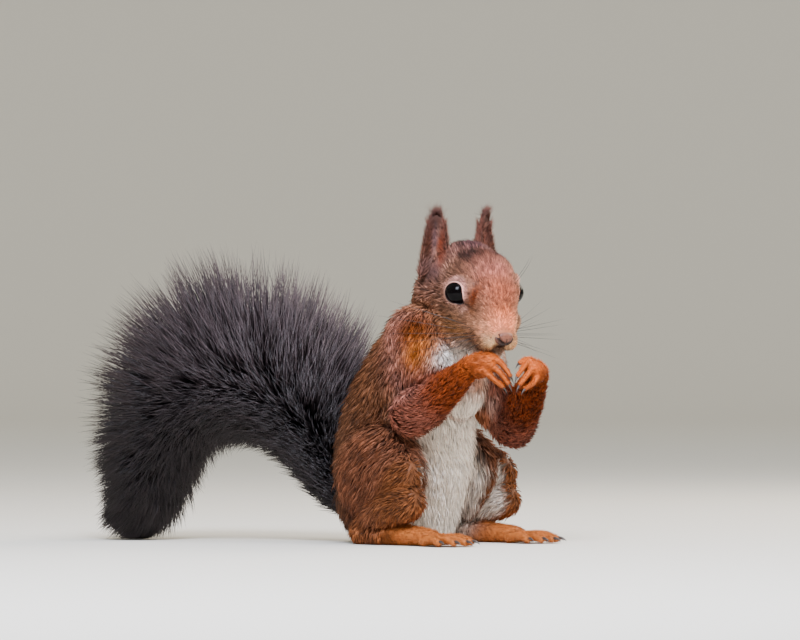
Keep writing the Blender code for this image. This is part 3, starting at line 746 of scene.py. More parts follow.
def markings(points, normals, shares):
    """The squirrel's colours at points of the hide, before any hair-by-hair change."""
    colour = np.zeros((len(points), 3))
    head = head_colours(points)
    outward = folded(points, 0)
    front = ramp(-normals[:, 1], 0.1, 0.75)
    middle = 1 - ramp(outward[:, 0], 8, 20)
    white = srgb(PARTS_COLOURS["belly"])
    for k, part in enumerate(PARTS):
        own = all_over(points, PARTS_COLOURS[part])
        if part == "head":
            own = head
        if part == "ear":
            own = ear_colours(points, normals, RIGHT if list(BONES)[k].endswith("right") else LEFT)
        if part in ("chest", "back", "rump"):
            own = blend(own, white, front * middle * (1 - ramp(points[:, 2], 58, 70)))
        if part == "belly":
            under = front * (1 - ramp(outward[:, 0], 14, 24))
            own = blend(all_over(points, PARTS_COLOURS["back"]), white, under)
        if part == "hand":
            # Painted shade: the hand's underside and sides are darker than its top.
            own = own * (0.5 + 0.5 * ramp(normals[:, 2], -0.4, 0.5))[:, None]
        if part in ("thigh", "shank"):
            inward = ramp(-normals[:, 0] * np.sign(points[:, 0]), 0.2, 0.8)
            own = blend(own, white, inward * 0.8)
        if part in ("head", "neck", "chest", "upper_arm"):
            own = marked(own, outward, BODY_MARKS, 1.4)
        colour += own * shares[:, k:k + 1]
    return colour


def normals_of(points, triangles):
    """Directions out of the surface at its points."""
    a, b, c = (points[triangles[:, k]] for k in range(3))
    faces = np.cross(b - a, c - a)
    total = np.stack([sum(np.bincount(triangles[:, k], faces[:, axis], len(points)) for k in range(3))
                      for axis in range(3)], axis=1)
    return unit(total)


melted = fused_flesh()
skin_triangles = triangles_of(melted)
opened = set_in_eyes(into_head(points_of(melted)))
crease = MOUTH_DEEP * np.exp(-(distance_to_line(folded(opened), MOUTH) / MOUTH_WIDE) ** 2)
skin_points = out_of_head(opened)
skin_normals = normals_of(skin_points, skin_triangles)
skin_points = skin_points - skin_normals * crease[:, None]
skin_points[:, 2] = np.maximum(skin_points[:, 2], 0)
skin_shares = shares_of(skin_points)

hide, _ = finish_of("hide_under_the_coat", 0.6, Specular_IOR_Level=0.3)
skin_colours = markings(skin_points, skin_normals, skin_shares)
skin_colours[on_tail(skin_points)] = srgb("#1c181b")
# The hide is shaded between the tufts, and less so where it shows on hands and feet.
under = 0.72 - 0.14 * share_in(skin_shares, "head") + 0.24 * share_in(skin_shares, "hand", "foot")
skin = solid("skin", skin_points, skin_triangles, hide, skin_colours * under[:, None])
flesh_nodes = ["head", "neck", "trunk"]
for tag in ("_left", "_right"):
    flesh_nodes += [part + tag for part in ("ear", "hand", "forearm", "upper_arm", "foot", "thigh", "shank")]
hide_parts(*flesh_nodes, *[f"tail_{n}" for n in range(1, 5)])

# ---------------------------------------------------------------- coat
# Guard hairs over underfur, seen as fine tufts that lie along the body from nose to tail. They
# root in the hide, are shortest on face, hands and feet, and draw together into small locks.
SEED = 7
TUFT_CHART = 0.003  # width of a tuft's patch on its chart
dice = np.random.default_rng(SEED)
coat, _ = finish_of("guard_hair", 0.6, IOR=1.55, Specular_IOR_Level=0.15)


def grid_faces(rows, columns, ring=False):
    """Triangles of a grid closed round its columns, and from its last row to its first in a ring."""
    faces = []
    for row in range(rows if ring else rows - 1):
        up = ((row + 1) % rows - row) * columns
        for column in range(columns):
            a, b = row * columns + column, row * columns + (column + 1) % columns
            faces += [(a, b, b + up), (a, b + up, a + up)]
    return faces


def strands(name, lines, across, rise, widths, colours, chart, finish):
    """Closed three-sided tapering hairs. lines is hairs x stations x 3, the last station a point."""
    count, stations = lines.shape[:2]
    rings = stations - 1
    corners = [(math.cos(a), math.sin(a)) for a in (math.pi / 2, math.pi * 7 / 6, math.pi * 11 / 6)]
    around = np.stack([across * c + rise * s * 0.75 for c, s in corners], axis=1)
    body = lines[:, :rings, None, :] + around[:, None] * widths[:, :, None, None]
    points = np.concatenate([body.reshape(count, rings * 3, 3), lines[:, -1:]], axis=1)
    points[:, :, 2] = np.maximum(points[:, :, 2], 0.02)
    top, tip = (rings - 1) * 3, rings * 3
    faces = [(0, 2, 1), *grid_faces(rings, 3), *[(top + k, top + (k + 1) % 3, tip) for k in range(3)]]
    triangles = (np.array(faces)[None] + (np.arange(count) * (tip + 1))[:, None, None]).reshape(-1, 3)
    paint = np.concatenate([np.repeat(colours[:, :rings], 3, axis=1), colours[:, -1:]], axis=1)
    spread = np.array([((k % 3) / 3, k // 3 / stations) for k in range(tip)] + [(0.3, 1)]) * TUFT_CHART
    uvs = (chart * (1 - TUFT_CHART))[:, None] + spread[None]
    solid(name, points.reshape(-1, 3), triangles, finish, paint.reshape(-1, 3), uvs.reshape(-1, 2))


def lie_of_the_coat(points, normals, shares):
    """The way the hair lies at each point: back from the nose, down the body, out along the limbs."""
    flow = np.zeros_like(points)
    nose = np.array(HEAD @ Vector((24, 0, -9)))
    for k, (part, bone) in enumerate(zip(PARTS, BONES.values())):
        heading = unit(np.array(bone[1] - bone[0]))[None]
        if part == "head":
            heading = unit(points - nose)
        if part == "ear":
            heading = np.array((0, 0, 1.0))[None]
        if part in ("back", "rump", "neck"):
            heading = np.array((0, 0.2, -1.0))[None]
        flow += heading * shares[:, k:k + 1]
    flow -= normals * (flow * normals).sum(axis=1, keepdims=True)
    return unit(flow)


def waves(points, scale, shift):
    """A gentle wandering value from -1 to 1."""
    x, y, z = (points / scale).T
    return (np.sin(x * 1.7 + y * 1.1 + shift) + np.sin(y * 1.9 - z * 1.3 + shift * 2)
            + np.sin(z * 2.1 + x * 0.7 + shift * 3)) / 3


def coat_by_bone(shares, column):
    return shares @ np.array([bone[column] for bone in BONES.values()], float)


NOSE_HAIR, BROW_HAIR, CROWN_HAIR, JOWL_HAIR, NAPE_HAIR = 1.6, 1.0, 1.6, 1.6, 1.6  # each adds to the first
SHORT_BY_EYE, SHORT_BY_THROAT = 0.5, 0.5
EAR_TUFT = 7.0
EAR_FRONT, EAR_FRONT_SPREAD, EAR_FRONT_LENGTH = (-15, 8, 13), (5, 4, 4), 2.4  # longer hair before the ears
THROAT, THROAT_SPREAD = (11, -21, 78), (10, 10, 10)  # the hair is short round here


def hair_length(points, shares):
    spots = into_head(points)
    back, down = -spots[:, 0], -spots[:, 2]
    on_face = NOSE_HAIR + BROW_HAIR * ramp(back, -18, -2) + CROWN_HAIR * ramp(back, -4, 22)
    on_face = on_face + JOWL_HAIR * ramp(down, 4, 18) * ramp(back, -8, 8) + NAPE_HAIR * ramp(back, 13, 24)
    on_face = on_face + EAR_FRONT_LENGTH * nearness(folded(spots), EAR_FRONT, EAR_FRONT_SPREAD)
    for side in SIDES:
        distance, off, _ = round_eye(spots, side)
        on_face = on_face * (1 - SHORT_BY_EYE * (1 - ramp(off, 62, 95)) * (distance < 12))
    own = share_in(shares, "head")
    rest = coat_by_bone(shares, HAIR_LONG) - own * BONES["head"][HAIR_LONG]
    rest = rest * (1 - SHORT_BY_THROAT * nearness(folded(points, 0), THROAT, THROAT_SPREAD))
    at_tip = ramp(points[:, 2], EAR_TIP_HEIGHT - 8, EAR_TIP_HEIGHT - 2) * (points[:, 2] > EARS_ABOVE)
    return rest + own * on_face + (EAR_TUFT - 2.4) * at_tip


MUZZLE_DENSER = 7.0  # tufts more to the square millimetre before the eyes


def hair_density(points, shares):
    spots = into_head(points)
    before_eyes = ramp(spots[:, 0], -8, 4)
    density = coat_by_bone(shares, HAIR_DENSE) + share_in(shares, "head") * MUZZLE_DENSER * before_eyes
    for side in SIDES:
        distance, off, turn = round_eye(spots, side)
        density = density * np.where((distance < EYE_RADIUS + 2) & (off < lid_edge(turn) + 3.5), 0, 1)
    off_nose = np.linalg.norm((spots - np.array(NOSE_AT)) / np.array(NOSE_RADII), axis=1)
    density = density * (off_nose > 1.12) * (distance_to_line(folded(spots), MOUTH) > 0.45)
    return density * (points[:, 2] > 0.6) * ~on_tail(points)


def roots_on_skin():
    """Random roots over the hide, as many to the square millimetre as each part grows."""
    corners = skin_points[skin_triangles]
    middle = corners.mean(axis=1)
    area = np.linalg.norm(np.cross(corners[:, 1] - corners[:, 0], corners[:, 2] - corners[:, 0]), axis=1) / 2
    hairs = area * hair_density(middle, shares_of(middle))
    number = int(hairs.sum())
    face = np.searchsorted(np.cumsum(hairs), dice.random(number) * hairs.sum())
    face = np.minimum(face, len(hairs) - 1)
    a, b = np.sqrt(dice.random(number)), dice.random(number)
    parts = np.stack([1 - a, a * (1 - b), a * b], axis=1)[:, :, None]
    roots = (corners[face] * parts).sum(axis=1)
    return roots, unit((skin_normals[skin_triangles[face]] * parts).sum(axis=1))


NEAR_SKIN, OVER_FLOOR = 6.0, 0.15
hide_tree = BVHTree.FromPolygons(skin_points.tolist(), skin_triangles.tolist())


def over_skin(points, heights, normals):
    """Sets points at their heights over the hide where it lies near beneath them."""
    out = points.copy()
    for n, point in enumerate(points.tolist()):
        spot, normal, *_ = hide_tree.find_nearest(point, NEAR_SKIN)
        if spot is not None and normal.dot(Vector(normals[n])) > 0.2:
            out[n] = spot + normal * heights[n]
    return out


LIFT, LIFT_SPREAD, EAR_LIFT = 23, 6, 10  # degrees that tufts stand off the hide
roots, root_normals = roots_on_skin()
root_shares = shares_of(roots)
root_head = share_in(root_shares, "head")
lengths = hair_length(roots, root_shares) * dice.uniform(0.75, 1.2, len(roots))
lying = lie_of_the_coat(roots, root_normals, root_shares)
sideways = np.cross(root_normals, lying)
in_ear_tuft = ramp(roots[:, 2], EARS_ABOVE + 12, EARS_ABOVE + 18) * (roots[:, 1] < 5)
swing = waves(roots, 6.0, 0.4) * 14 + dice.normal(0, 9, len(roots)) * (1 + 1.2 * in_ear_tuft)
swing = np.radians(swing)[:, None]
lying = unit(lying * np.cos(swing) + sideways * np.sin(swing))
sideways = np.cross(root_normals, lying)
on_ear = share_in(root_shares, "ear") > 0.5
lift = np.radians(np.clip(dice.normal(LIFT, LIFT_SPREAD, len(roots)), 8, 45) + EAR_LIFT * on_ear)
high = lengths * np.sin(lift)
tips = roots + lying * (lengths * np.cos(lift))[:, None]

# Neighbouring tufts draw together into small locks.
TUFTS_IN_LOCK = 14
leaders = dice.permutation(len(roots))[: len(roots) // TUFTS_IN_LOCK]
nearby = KDTree(len(leaders))
for n, leader in enumerate(leaders.tolist()):
    nearby.insert(roots[leader], leader)
nearby.balance()
leader_of = np.array([nearby.find(root)[1] for root in roots.tolist()])
gather = dice.uniform(0.2, 0.65, len(roots))[:, None] * np.where(on_ear | (root_head > 0.5), 0.4, 1)[:, None]
meeting = tips[leader_of] + (roots - roots[leader_of]) * 0.25
close = (np.linalg.norm(roots - roots[leader_of], axis=1) < lengths * 0.5)[:, None]
tips = np.where(close, tips + (meeting - tips) * gather, tips)
free = (on_ear & (tips[:, 2] > EAR_TIP_HEIGHT - 1.5))[:, None]
tips = np.where(free, tips, over_skin(tips, high, root_normals))
middles = np.where(free, (roots + tips) / 2, over_skin((roots + tips) / 2, high * 0.62, root_normals))
for ends in (tips, middles):
    ends[:, 2] = np.maximum(ends[:, 2], OVER_FLOOR)

# Each tuft has a shade of its own and one of its lock, dark at the root and light at the tip.
ROOT_SHADE, PALE_ROOT, MIDDLE_SHADE, TIP_SHADE = 0.42, 0.4, 0.95, 1.25
DARK_TUFTS, LIGHT_TUFTS = (0.17, 0.45), (0.14, 1.45)  # share of the tufts, and their shade
widths = coat_by_bone(root_shares, HAIR_WIDE) * dice.uniform(0.75, 1.25, len(roots))
widths = widths * np.clip(lengths / 3, 0.85, 1.1)
tint = markings(roots, root_normals, root_shares)
luck = dice.random(len(roots))
vary = 0.18 + 0.22 * root_head + 0.08 * share_in(root_shares, "hand", "foot")
bright = (1 + dice.normal(0, 1, len(roots)) * vary) * np.where(luck < DARK_TUFTS[0], DARK_TUFTS[1], 1.0)
bright = bright * np.where(luck > 1 - LIGHT_TUFTS[0], LIGHT_TUFTS[1], 1.0)
lock_shade = dice.normal(0, 1, len(roots))[leader_of] * (0.18 + 0.14 * root_head)
bright = bright * (1 + 0.10 * waves(roots, 3.0, 1.3)) * (1 + lock_shade)
pale = ramp(tint.mean(axis=1), 0.3, 0.7)  # white hairs are white to the root
bright = np.clip(bright + (1 - bright) * pale * 0.6, 0.3, 2.0)[:, None]
at_root = (ROOT_SHADE + PALE_ROOT * pale)[:, None]
coat_lines = np.stack([roots - root_normals * 0.25, middles, tips], axis=1)
coat_colours = np.stack([tint * shade * bright for shade in (at_root, MIDDLE_SHADE, TIP_SHADE)], axis=1)
coat_widths = np.stack([widths * 0.7, widths], axis=1)
belongs = root_shares.argmax(axis=1)


def chart_of(points, owner):
    """Where roots lie on the unrolled hide: each part is a cylinder opened out in its own strip."""
    chart = np.zeros((len(points), 2))
    present = np.unique(owner)
    for strip, k in enumerate(present):
        start, end = (np.array(spot) for spot in list(BONES.values())[k][:2])
        ahead = unit(end - start)
        side_way = unit(np.cross(ahead, (0.3, 0.9, 0.1)))
        mine = owner == k
        away = points[mine] - start
        reach = np.linalg.norm(end - start) + 40
        angle = np.arctan2(away @ np.cross(ahead, side_way), away @ side_way) / (2 * math.pi) + 0.5
        chart[mine, 0] = (strip + angle * 0.98) / len(present)
        chart[mine, 1] = np.clip((away @ ahead + 20) / reach, 0, 1)
    return chart


MOST_TRIANGLES = 195000
SPIKE = (0, 2)  # short hairs are straight
LONG_ON_HEAD = 4.2


def coat_piece(name, mine, stations=(0, 1, 2)):
    """The tufts of one part of the coat, in as many pieces as it takes."""
    chosen = np.nonzero(mine)[0]
    most = MOST_TRIANGLES // (6 * len(stations) - 8)
    pieces = max(-(-len(chosen) // most), 1)
    kept = np.array(stations)
    for n, some in enumerate(np.array_split(chosen[np.argsort(roots[chosen, 2], kind="stable")], pieces)):
        strands(f"{name}_{n + 1}", coat_lines[some][:, kept], sideways[some], root_normals[some],
                coat_widths[some][:, kept[:-1]], coat_colours[some][:, kept],
                chart_of(roots[some], belongs[some]), coat)


def rooted_in(*parts):
    return np.isin(PARTS[belongs], parts)


on_right = into_head(roots)[:, 1] < 0
long_on_head = rooted_in("head") & (lengths > LONG_ON_HEAD)
short_on_head = rooted_in("head") & ~long_on_head
coat_piece("coat_face_right", short_on_head & on_right, SPIKE)
coat_piece("coat_face_left", short_on_head & ~on_right, SPIKE)
coat_piece("coat_nape", long_on_head)
coat_piece("coat_ears", rooted_in("ear"), SPIKE)
coat_piece("coat_neck", rooted_in("neck"))
coat_piece("coat_trunk", rooted_in("chest", "back", "rump", "belly"))
coat_piece("coat_forelegs", rooted_in("upper_arm", "forearm"))
coat_piece("coat_hind_legs", rooted_in("thigh", "shank"))
coat_piece("coat_hands_and_feet", rooted_in("hand", "foot"), SPIKE)

# ---------------------------------------------------------------- eyes
# Dark brown, almost black and wet: a cornea that bulges a little, between lids with a pale rim.
# The ball is one closed piece in its socket, and each pair of lids is a thin ring over its edge.
EYE_ROWS, EYE_COLUMNS, LID_COLUMNS = 40, 56, 96
CORNEA_BULGE, CORNEA_WIDE = 0.45, 34  # degrees across the bulge
LID_PROFILE = [(-1.5, 0.02), (-0.5, 0.26), (1.2, 0.40), (3.5, 0.42), (7, 0.28), (11, -0.1), (14, -0.7),
               (10, -1.2), (4, -0.9), (-1, -0.5)]  # degrees past the lid's edge, height over the ball
LID_BROWN, LID_DARK = "#8f6652", "#2a1712"
eye_wet, _ = finish_of("eye_wet_black", 0.04, "#050304", IOR=1.38, Specular_IOR_Level=0.13)
lid_skin, _ = finish_of("lid_skin", 0.5, Specular_IOR_Level=0.35)


def eye_piece(name, side, points, triangles, finish, colours=None):
    """A piece round an eyeball. The left one's faces are turned over, to match its mirror image."""
    order = 1 if side == RIGHT else -1
    points = out_of_head(np.array(points))
    return solid(name + SIDES[side], points, np.array(triangles)[:, ::order], finish, colours)


def make_eye(side):
    centre, look, front, above = eye_axes(side)
    points = []
    for row in range(EYE_ROWS):
        off = math.pi * (row + 0.02) / (EYE_ROWS - 0.96)
        bulge = CORNEA_BULGE * math.exp(-(math.degrees(off) / CORNEA_WIDE) ** 2)
        for column in range(EYE_COLUMNS):
            turn = 2 * math.pi * column / EYE_COLUMNS
            ray = look * math.cos(off) + (front * math.cos(turn) + above * math.sin(turn)) * math.sin(off)
            points.append(centre + ray * (EYE_RADIUS + bulge))
    triangles = grid_faces(EYE_ROWS, EYE_COLUMNS)
    top, last = len(points), (EYE_ROWS - 1) * EYE_COLUMNS
    points += [centre + look * (EYE_RADIUS + CORNEA_BULGE), centre - look * EYE_RADIUS]
    for column in range(EYE_COLUMNS):
        after = (column + 1) % EYE_COLUMNS
        triangles += [(top, after, column), (top + 1, last + column, last + after)]
    eye = eye_piece("eyeball", side, points, triangles, eye_wet)
    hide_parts("eye" + SIDES[side])


def make_lids(side):
    centre, look, front, above = eye_axes(side)
    points, colours = [], []
    for past, over in LID_PROFILE:
        for column in range(LID_COLUMNS):
            turn = 2 * math.pi * column / LID_COLUMNS
            turned = turn if turn < math.pi else turn - 2 * math.pi
            corner = math.exp(-((math.degrees(turned) - CANTHUS_AT) / 13) ** 2)
            rim = srgb(LID_BROWN) + (srgb(LID_CREAM) - srgb(LID_BROWN)) * (0.5 + 0.5 * math.cos(turn - 1.1))
            colours.append(srgb(LID_DARK) if past < 0.8 + 9 * corner else rim)
            off = math.radians(float(lid_edge(np.array(turned))) + past)
            ray = look * math.cos(off) + (front * math.cos(turn) + above * math.sin(turn)) * math.sin(off)
            points.append(centre + ray * (EYE_RADIUS + over))
    triangles = grid_faces(len(LID_PROFILE), LID_COLUMNS, ring=True)
    eye_piece("lids", side, points, triangles, lid_skin, np.array(colours))


for side in SIDES:
    make_eye(side)
    make_lids(side)

# ---------------------------------------------------------------- tail hair
# A bush of long springy hairs in pointed locks, that fan out from the bone and trail to its tip.
# They are near black, a little browner at their ends, and root in the hide round the bone.
TAIL_LOCKS, HAIRS_IN_LOCK = 6000, 7
TIP_LOCKS = 700
TAIL_PIECES = 3
# How far hair leans towards the tail's tip, by place along it.
HAIR_LEAN = [(0.0, 0.02), (0.45, 0.05), (0.7, 0.10), (1.0, 0.16)]
FULLEST, FULL_SPREAD, FULLER = 0.57, 0.13, 0.16  # the brush is at its fullest just past the top of the bend
TAIL_HAIR_WIDTH = (0.13, 0.23)
TAIL_COLOURS = ("#0a0708", "#2b2124", "#524345")  # root, middle and tip
tail_finish, _ = finish_of("tail_hair_black_brown", 0.45, IOR=1.55, Specular_IOR_Level=0.4)
flank = np.array(TAIL_FLANK)


def tail_frames(t):
    """Bone point, heading, outer side and reach of the hair at shares t of the tail."""
    rows = smooth_through([(*core, *hair) for core, hair in zip(TAIL_CORE, TAIL_HAIR)], 12)
    n = np.clip(t, 0, 1) * (len(rows) - 1)
    low = np.clip(n.astype(int), 0, len(rows) - 2)
    part = (n - low)[:, None]
    row = rows[low] * (1 - part) + rows[low + 1] * part
    step = rows[np.minimum(low + 2, len(rows) - 1)] - rows[np.maximum(low - 1, 0)]
    back, up = np.array(TAIL_BACK), np.array(UP)
    spot = np.array(TAIL_ROOT) + back * row[:, :1] + up * row[:, 1:2]
    ahead = unit(back * step[:, :1] + up * step[:, 1:2])
    return spot, ahead, np.cross(flank, ahead), row[:, 2:]


def tail_outline(t, angle):
    """Where the longest hair ends, at shares t of the tail and angles round it."""
    spot, _, outer, reach = tail_frames(t)
    rise = np.sin(angle)[:, None]
    over = np.where(rise > 0, reach[:, :1], reach[:, 1:2])
    return spot + flank * reach[:, 2:3] * np.cos(angle)[:, None] + outer * over * rise


along_tail = dice.uniform(-0.02, 0.84, TAIL_LOCKS - TIP_LOCKS)
lock_t = np.concatenate([along_tail, dice.uniform(0.8, 0.9, TIP_LOCKS)])
lock_angle = dice.uniform(-math.pi, math.pi, TAIL_LOCKS)
lock_reach = np.clip(dice.normal(1.0, 0.06, TAIL_LOCKS), 0.6, 1.045)
over_top = np.exp(-((lock_t - FULLEST) / FULL_SPREAD) ** 2) * ramp(np.sin(lock_angle), 0.6, 0.95)
lock_reach = np.minimum(lock_reach, 1.05 - 0.05 * np.abs(np.cos(lock_angle))) * (1 + FULLER * over_top)
lean = np.interp(lock_t, *np.array(HAIR_LEAN).T) + 0.05 * (np.sin(lock_angle) < -0.2)
of_lock = np.repeat(np.arange(TAIL_LOCKS), HAIRS_IN_LOCK)
number = len(of_lock)
t = lock_t[of_lock] + dice.normal(0, 0.012, number)
angle = lock_angle[of_lock] + dice.normal(0, 0.12, number)
spot, ahead, outer, _ = tail_frames(t)
radial = unit(flank * np.cos(angle)[:, None] + outer * np.sin(angle)[:, None])
tail_roots = spot + radial * 2.5 + dice.normal(0, 0.5, (number, 3))
lock_root = tail_frames(lock_t)[0]
lock_tip = lock_root + (tail_outline(lock_t + lean, lock_angle) - lock_root) * lock_reach[:, None]
spread = np.clip(dice.normal(0, 2.4, (number, 3)), -3, 3)
length_share = np.clip(dice.normal(0.95, 0.09, number), 0.4, 1.03)[:, None]
tail_tips = tail_roots + (lock_tip[of_lock] + spread - tail_roots) * length_share
long = np.linalg.norm(tail_tips - tail_roots, axis=1, keepdims=True)
bend = dice.normal(0, 0.035, (number, 3)) * long
tail_middles = tail_roots * 0.38 + tail_tips * 0.62 + unit(ahead * 0.3 + radial) * long * 0.05 + bend
tail_lines = np.stack([tail_roots, tail_middles, tail_tips], axis=1)
tail_lines[:, :, 2] = np.maximum(tail_lines[:, :, 2], 0.35)
run = unit(tail_tips - tail_roots)
tail_across = unit(np.cross(run, np.cross(radial, run) + 1e-6))
tail_rise = np.cross(run, tail_across)
tail_widths = dice.uniform(*TAIL_HAIR_WIDTH, number)[:, None] * np.array([[0.9, 1.1]])
shade = np.exp(dice.normal(0, 0.38, number)) * dice.normal(1, 0.15, TAIL_LOCKS)[of_lock]
# Painted shade: hairs lower down the tail are darker.
shade = (np.clip(shade, 0.3, 2.4) * (0.35 + 0.65 * ramp(tail_tips[:, 2], 45, 95)))[:, None]
tail_colours = np.stack([srgb(code) * shade for code in TAIL_COLOURS], axis=1)
tail_chart = np.column_stack([np.clip(t, 0, 1) * 0.98, (angle / (2 * math.pi) + 0.5) % 1 * 0.98])
for n, some in enumerate(np.array_split(np.argsort(t, kind="stable"), TAIL_PIECES)):
    chart = tail_chart[some].copy()
    chart[:, 0] = (chart[:, 0] - chart[:, 0].min()) / np.ptp(chart[:, 0])
    strands(f"tail_hair_{n + 1}", tail_lines[some], tail_across[some], tail_rise[some], tail_widths[some],
            tail_colours[some], chart, tail_finish)

# ---------------------------------------------------------------- nose
# The bare pad at the end of the muzzle: moist skin, with a comma-shaped nostril on either side
# and a groove between them that runs down to the lip.
NOSE_ROWS, NOSE_COLUMNS = 50, 64
NOSTRIL = [(1.9, 1.1, -1.7), (1.7, 2.1, -1.3), (1.2, 3.1, -0.3), (0.5, 3.7, 1.1)]
NOSTRIL_DEEP, NOSTRIL_WIDE, NOSTRIL_RIM = 1.3, 0.75, 0.2
GROOVE = [(2.4, 0, 0.3), (1.9, 0, -1.9), (0.4, 0, -3.0)]
GROOVE_DEEP, GROOVE_WIDE = 0.35, 0.3
SKIN_GRAIN = 0.25  # size of the bumps on the pad
nose_skin, shader = finish_of("nose_skin", 0.38, IOR=1.4, Specular_IOR_Level=0.4)
grain = add(nose_skin, "ShaderNodeTexNoise", Scale=1 / (SKIN_GRAIN * MM), Detail=3.0)
relief = add(nose_skin, "ShaderNodeBump", {"Height": grain.outputs["Fac"]}, Strength=0.35, Distance=0.0001)
nose_skin.node_tree.links.new(relief.outputs["Normal"], shader.inputs["Normal"])


def make_nose():
    ways = []
    for row in range(NOSE_ROWS):
        off = math.radians(145) * (row + 0.3) / NOSE_ROWS
        for column in range(NOSE_COLUMNS):
            turn = 2 * math.pi * column / NOSE_COLUMNS
            ways.append((math.cos(off), math.sin(off) * math.cos(turn), math.sin(off) * math.sin(turn)))
    ways = np.array([*ways, (-0.9, 0, 0), (1, 0, 0)])
    spots = ways * np.array(NOSE_RADII)
    from_nostril = distance_to_line(folded(spots), NOSTRIL)
    from_groove = distance_to_line(spots, GROOVE)
    dent = NOSTRIL_DEEP * np.exp(-(from_nostril / NOSTRIL_WIDE) ** 2)
    dent = dent + GROOVE_DEEP * np.exp(-(from_groove / GROOVE_WIDE) ** 2)
    rim = NOSTRIL_RIM * np.exp(-((from_nostril - 0.95) / 0.45) ** 2)
    spots = spots + ways * (rim - dent)[:, None]
    mottle = np.clip(waves(spots, 0.35, 0.2) + waves(spots, 0.2, 1.7), 0, 1)
    colours = blend(all_over(spots, "#84513e"), srgb("#4a2d2b"), mottle * 0.8)
    # Painted shade: the pad is darker on its underside, nearly black in its nostrils and darker along its
    # groove.
    colours = blend(colours, srgb("#2a1814"), ramp(-spots[:, 2], 1.0, 2.2))
    colours = blend(colours, srgb("#120a09"), np.exp(-(from_nostril / 1.25) ** 2))
    colours = blend(colours, srgb("#2e1c18"), np.exp(-(from_groove / 0.35) ** 2) * 0.8)
    triangles = grid_faces(NOSE_ROWS, NOSE_COLUMNS)
    last, back = (NOSE_ROWS - 1) * NOSE_COLUMNS, NOSE_ROWS * NOSE_COLUMNS
    for column in range(NOSE_COLUMNS):
        after = (column + 1) % NOSE_COLUMNS
        triangles += [(back, after + last, column + last), (back + 1, column, after)]
    points = out_of_head(spots + np.array(NOSE_AT))
    solid("nose_pad", points, np.array(triangles)[:, ::-1], nose_skin, colours)


make_nose()

# ---------------------------------------------------------------- claws and whiskers
# Horn claws, dark and curved, rooted in the end of every finger and toe, and stiff black
# whiskers, rooted in the pads of the lip and over the eyes.
CLAW_ON_FINGER, CLAW_ON_TOE = 0.62, 0.8  # radius at the root
WHISKER_ROWS, WHISKERS_IN_ROW, BROW_WHISKERS = 3, 4, 2
WHISKER_GAUGE, BROW_GAUGE = 0.11, 0.1
horn, _ = finish_of("claw_horn", 0.35, "#3a302c", IOR=1.54)
whisker, _ = finish_of("whisker_black", 0.35, "#15100f", IOR=1.55)


def hooks(name, rows, finish, sides=8, steps=7):
    """Tapered curved spikes: start, control, end, and the radius at the start."""
    last, tip = (steps - 1) * sides, steps * sides
    faces = [*grid_faces(steps, sides), *[(last + c, last + (c + 1) % sides, tip) for c in range(sides)],
             *[(0, c + 1, c) for c in range(1, sides - 1)]]
    points, triangles = [], []
    for start, control, end, radius in rows:
        triangles.append(np.array(faces) + len(points))
        start, control, end = (np.array(spot, float) for spot in (start, control, end))
        for k in range(steps):
            s = k / steps
            middle = start * (1 - s) ** 2 + control * 2 * s * (1 - s) + end * s * s
            run = unit((control - start) * (1 - s) + (end - control) * s)
            across = unit(np.cross(run, (0.31, 0.2, 0.93)))
            other = np.cross(run, across)
            for c in range(sides):
                a = 2 * math.pi * c / sides
                ray = across * math.cos(a) + other * math.sin(a)
                points.append(middle + ray * radius * (1 - s) ** 0.8)
        points.append(end)
    solid(name, np.array(points), np.concatenate(triangles), finish)


for side, tag in SIDES.items():
    rows = []
    for finger in FINGERS:
        _, middle, tip = (hand_place(side, spot) for spot in finger)
        run = (tip - middle).normalized()
        control, end = tip + run * 1.6 + UP * 0.3, tip + run * 2.6 - UP * 1.4
        rows.append((tip - run * 0.3, control, end, CLAW_ON_FINGER))
    hooks("claws_hand" + tag, rows, horn)
    rows = []
    for n in range(len(TOE_LENGTHS)):
        _, _, tip, run = toe(side, n)
        control, end = tip + run * 2.6 + UP * 0.9, tip + run * 4.4 - UP * 0.9
        rows.append((tip + run * 0.2 + UP * 0.3, control, end, CLAW_ON_TOE))
    hooks("claws_foot" + tag, rows, horn)

rows = []
for side in SIDES:
    for n in range(WHISKER_ROWS * WHISKERS_IN_ROW):
        row, column = divmod(n, WHISKERS_IN_ROW)
        root = Vector((15.5 - column * 2.2, side * (6.6 + column * 0.9), -10.5 - row * 2.2))
        rise = 0.22 - row * 0.28 + dice.uniform(-0.1, 0.1)
        way = Vector((0.2 - column * 0.28, side, rise)).normalized()
        length = (22 + column * 4) * dice.uniform(0.85, 1.15)
        bend = Vector((-0.35, 0, -0.12)) * length * 0.4
        control, end = root + way * length * 0.5, root + way * length + bend
        rows.append((HEAD @ root, HEAD @ control, HEAD @ end, WHISKER_GAUGE))
    for n in range(BROW_WHISKERS):
        root = Vector((7 - n * 1.5, side * 8.2, 6.6))
        way = Vector((0.25, side * 0.5, 0.9)).normalized()
        control, end = root + way * 8, root + way * 14 - Vector((4, 0, 0))
        rows.append((HEAD @ root, HEAD @ control, HEAD @ end, BROW_GAUGE))
hooks("whiskers", rows, whisker, sides=5, steps=10)

# ---------------------------------------------------------------- floor and light
# A studio's round paper floor, matt and off-white, whose edge curves up into a wall far behind
# every viewpoint. Two soft boxes and a weaker one behind light the animal, under a pale sky.
BOWL_FLAT, BOWL_CURVE, BOWL_HEIGHT = 3.3, 0.8, 2.2  # metres
BOWL_STEPS, BOWL_COLUMNS = 12, 72
floor_paint, _ = finish_of("studio_paper", 0.9, "#e6e1d6")


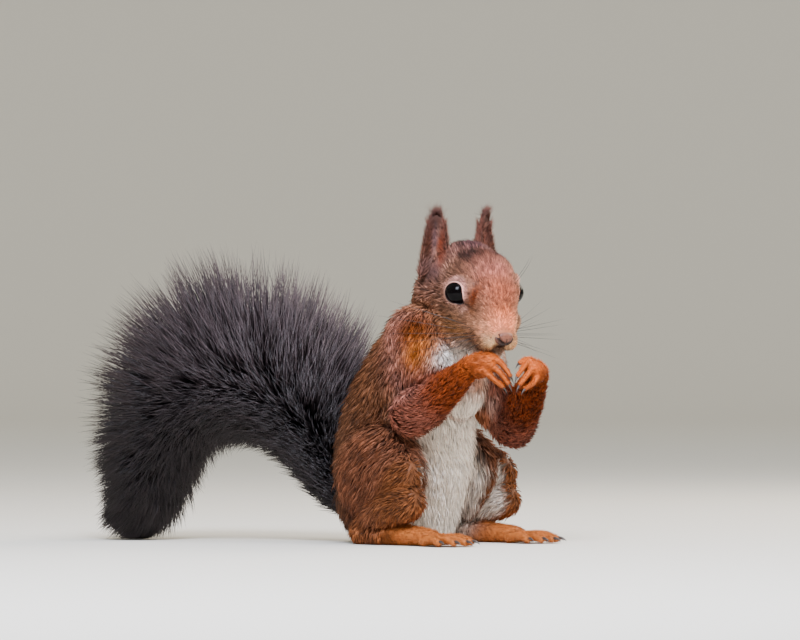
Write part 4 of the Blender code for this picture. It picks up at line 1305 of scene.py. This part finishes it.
def make_bowl():
    profile = [(0.4, 0), (BOWL_FLAT, 0)]
    for k in range(1, BOWL_STEPS + 1):
        turn = math.pi / 2 * k / BOWL_STEPS
        profile.append((BOWL_FLAT + BOWL_CURVE * math.sin(turn), BOWL_CURVE * (1 - math.cos(turn))))
    profile.append((BOWL_FLAT + BOWL_CURVE, BOWL_HEIGHT))
    angles = [2 * math.pi * c / BOWL_COLUMNS for c in range(BOWL_COLUMNS)]
    mesh = bmesh.new()
    middle = mesh.verts.new((0, 0, 0))
    rings = [[mesh.verts.new((radius * math.cos(a), radius * math.sin(a), height)) for a in angles]
             for radius, height in profile]
    for c in range(BOWL_COLUMNS):
        after = (c + 1) % BOWL_COLUMNS
        mesh.faces.new((middle, rings[0][c], rings[0][after]))
        for low, high in zip(rings, rings[1:]):
            mesh.faces.new((low[c], high[c], high[after], low[after]))
    data = bpy.data.meshes.new("floor")
    mesh.to_mesh(data)
    mesh.free()
    data.shade_smooth()
    floor = bpy.data.objects.new("floor", data)
    bpy.context.scene.collection.objects.link(floor)
    data.materials.append(floor_paint)


make_bowl()
world = bpy.data.worlds.new("studio")
world.use_nodes = True
world.node_tree.nodes["Background"].inputs["Color"].default_value = (*srgb("#dfe0dc"), 1)
world.node_tree.nodes["Background"].inputs["Strength"].default_value = 1.0
bpy.context.scene.world = world


def softbox(name, across, ahead, up, size, power, colour):
    """An area light aimed at the animal, placed across, towards and over it as the view sees it."""
    light = bpy.data.lights.new(name, "AREA")
    light.size = size
    light.energy = power
    light.color = tuple(srgb(colour))
    lamp = bpy.data.objects.new(name, light)
    target = (SHIFT + Vector((0, -10, 70))) * MM
    lamp.location = target + view_right * across - view_ahead * ahead + Vector((0, 0, up))
    lamp.rotation_euler = (target - lamp.location).to_track_quat("-Z", "Y").to_euler()
    bpy.context.scene.collection.objects.link(lamp)


softbox("sky", 0.4, 0.35, 1.0, 0.8, 10, "#fbf9ff")
softbox("window", -0.1, 0.85, 0.75, 0.42, 26, "#e4ecff")
softbox("rim", 0.6, -0.5, 0.5, 0.6, 7, "#fff0dc")
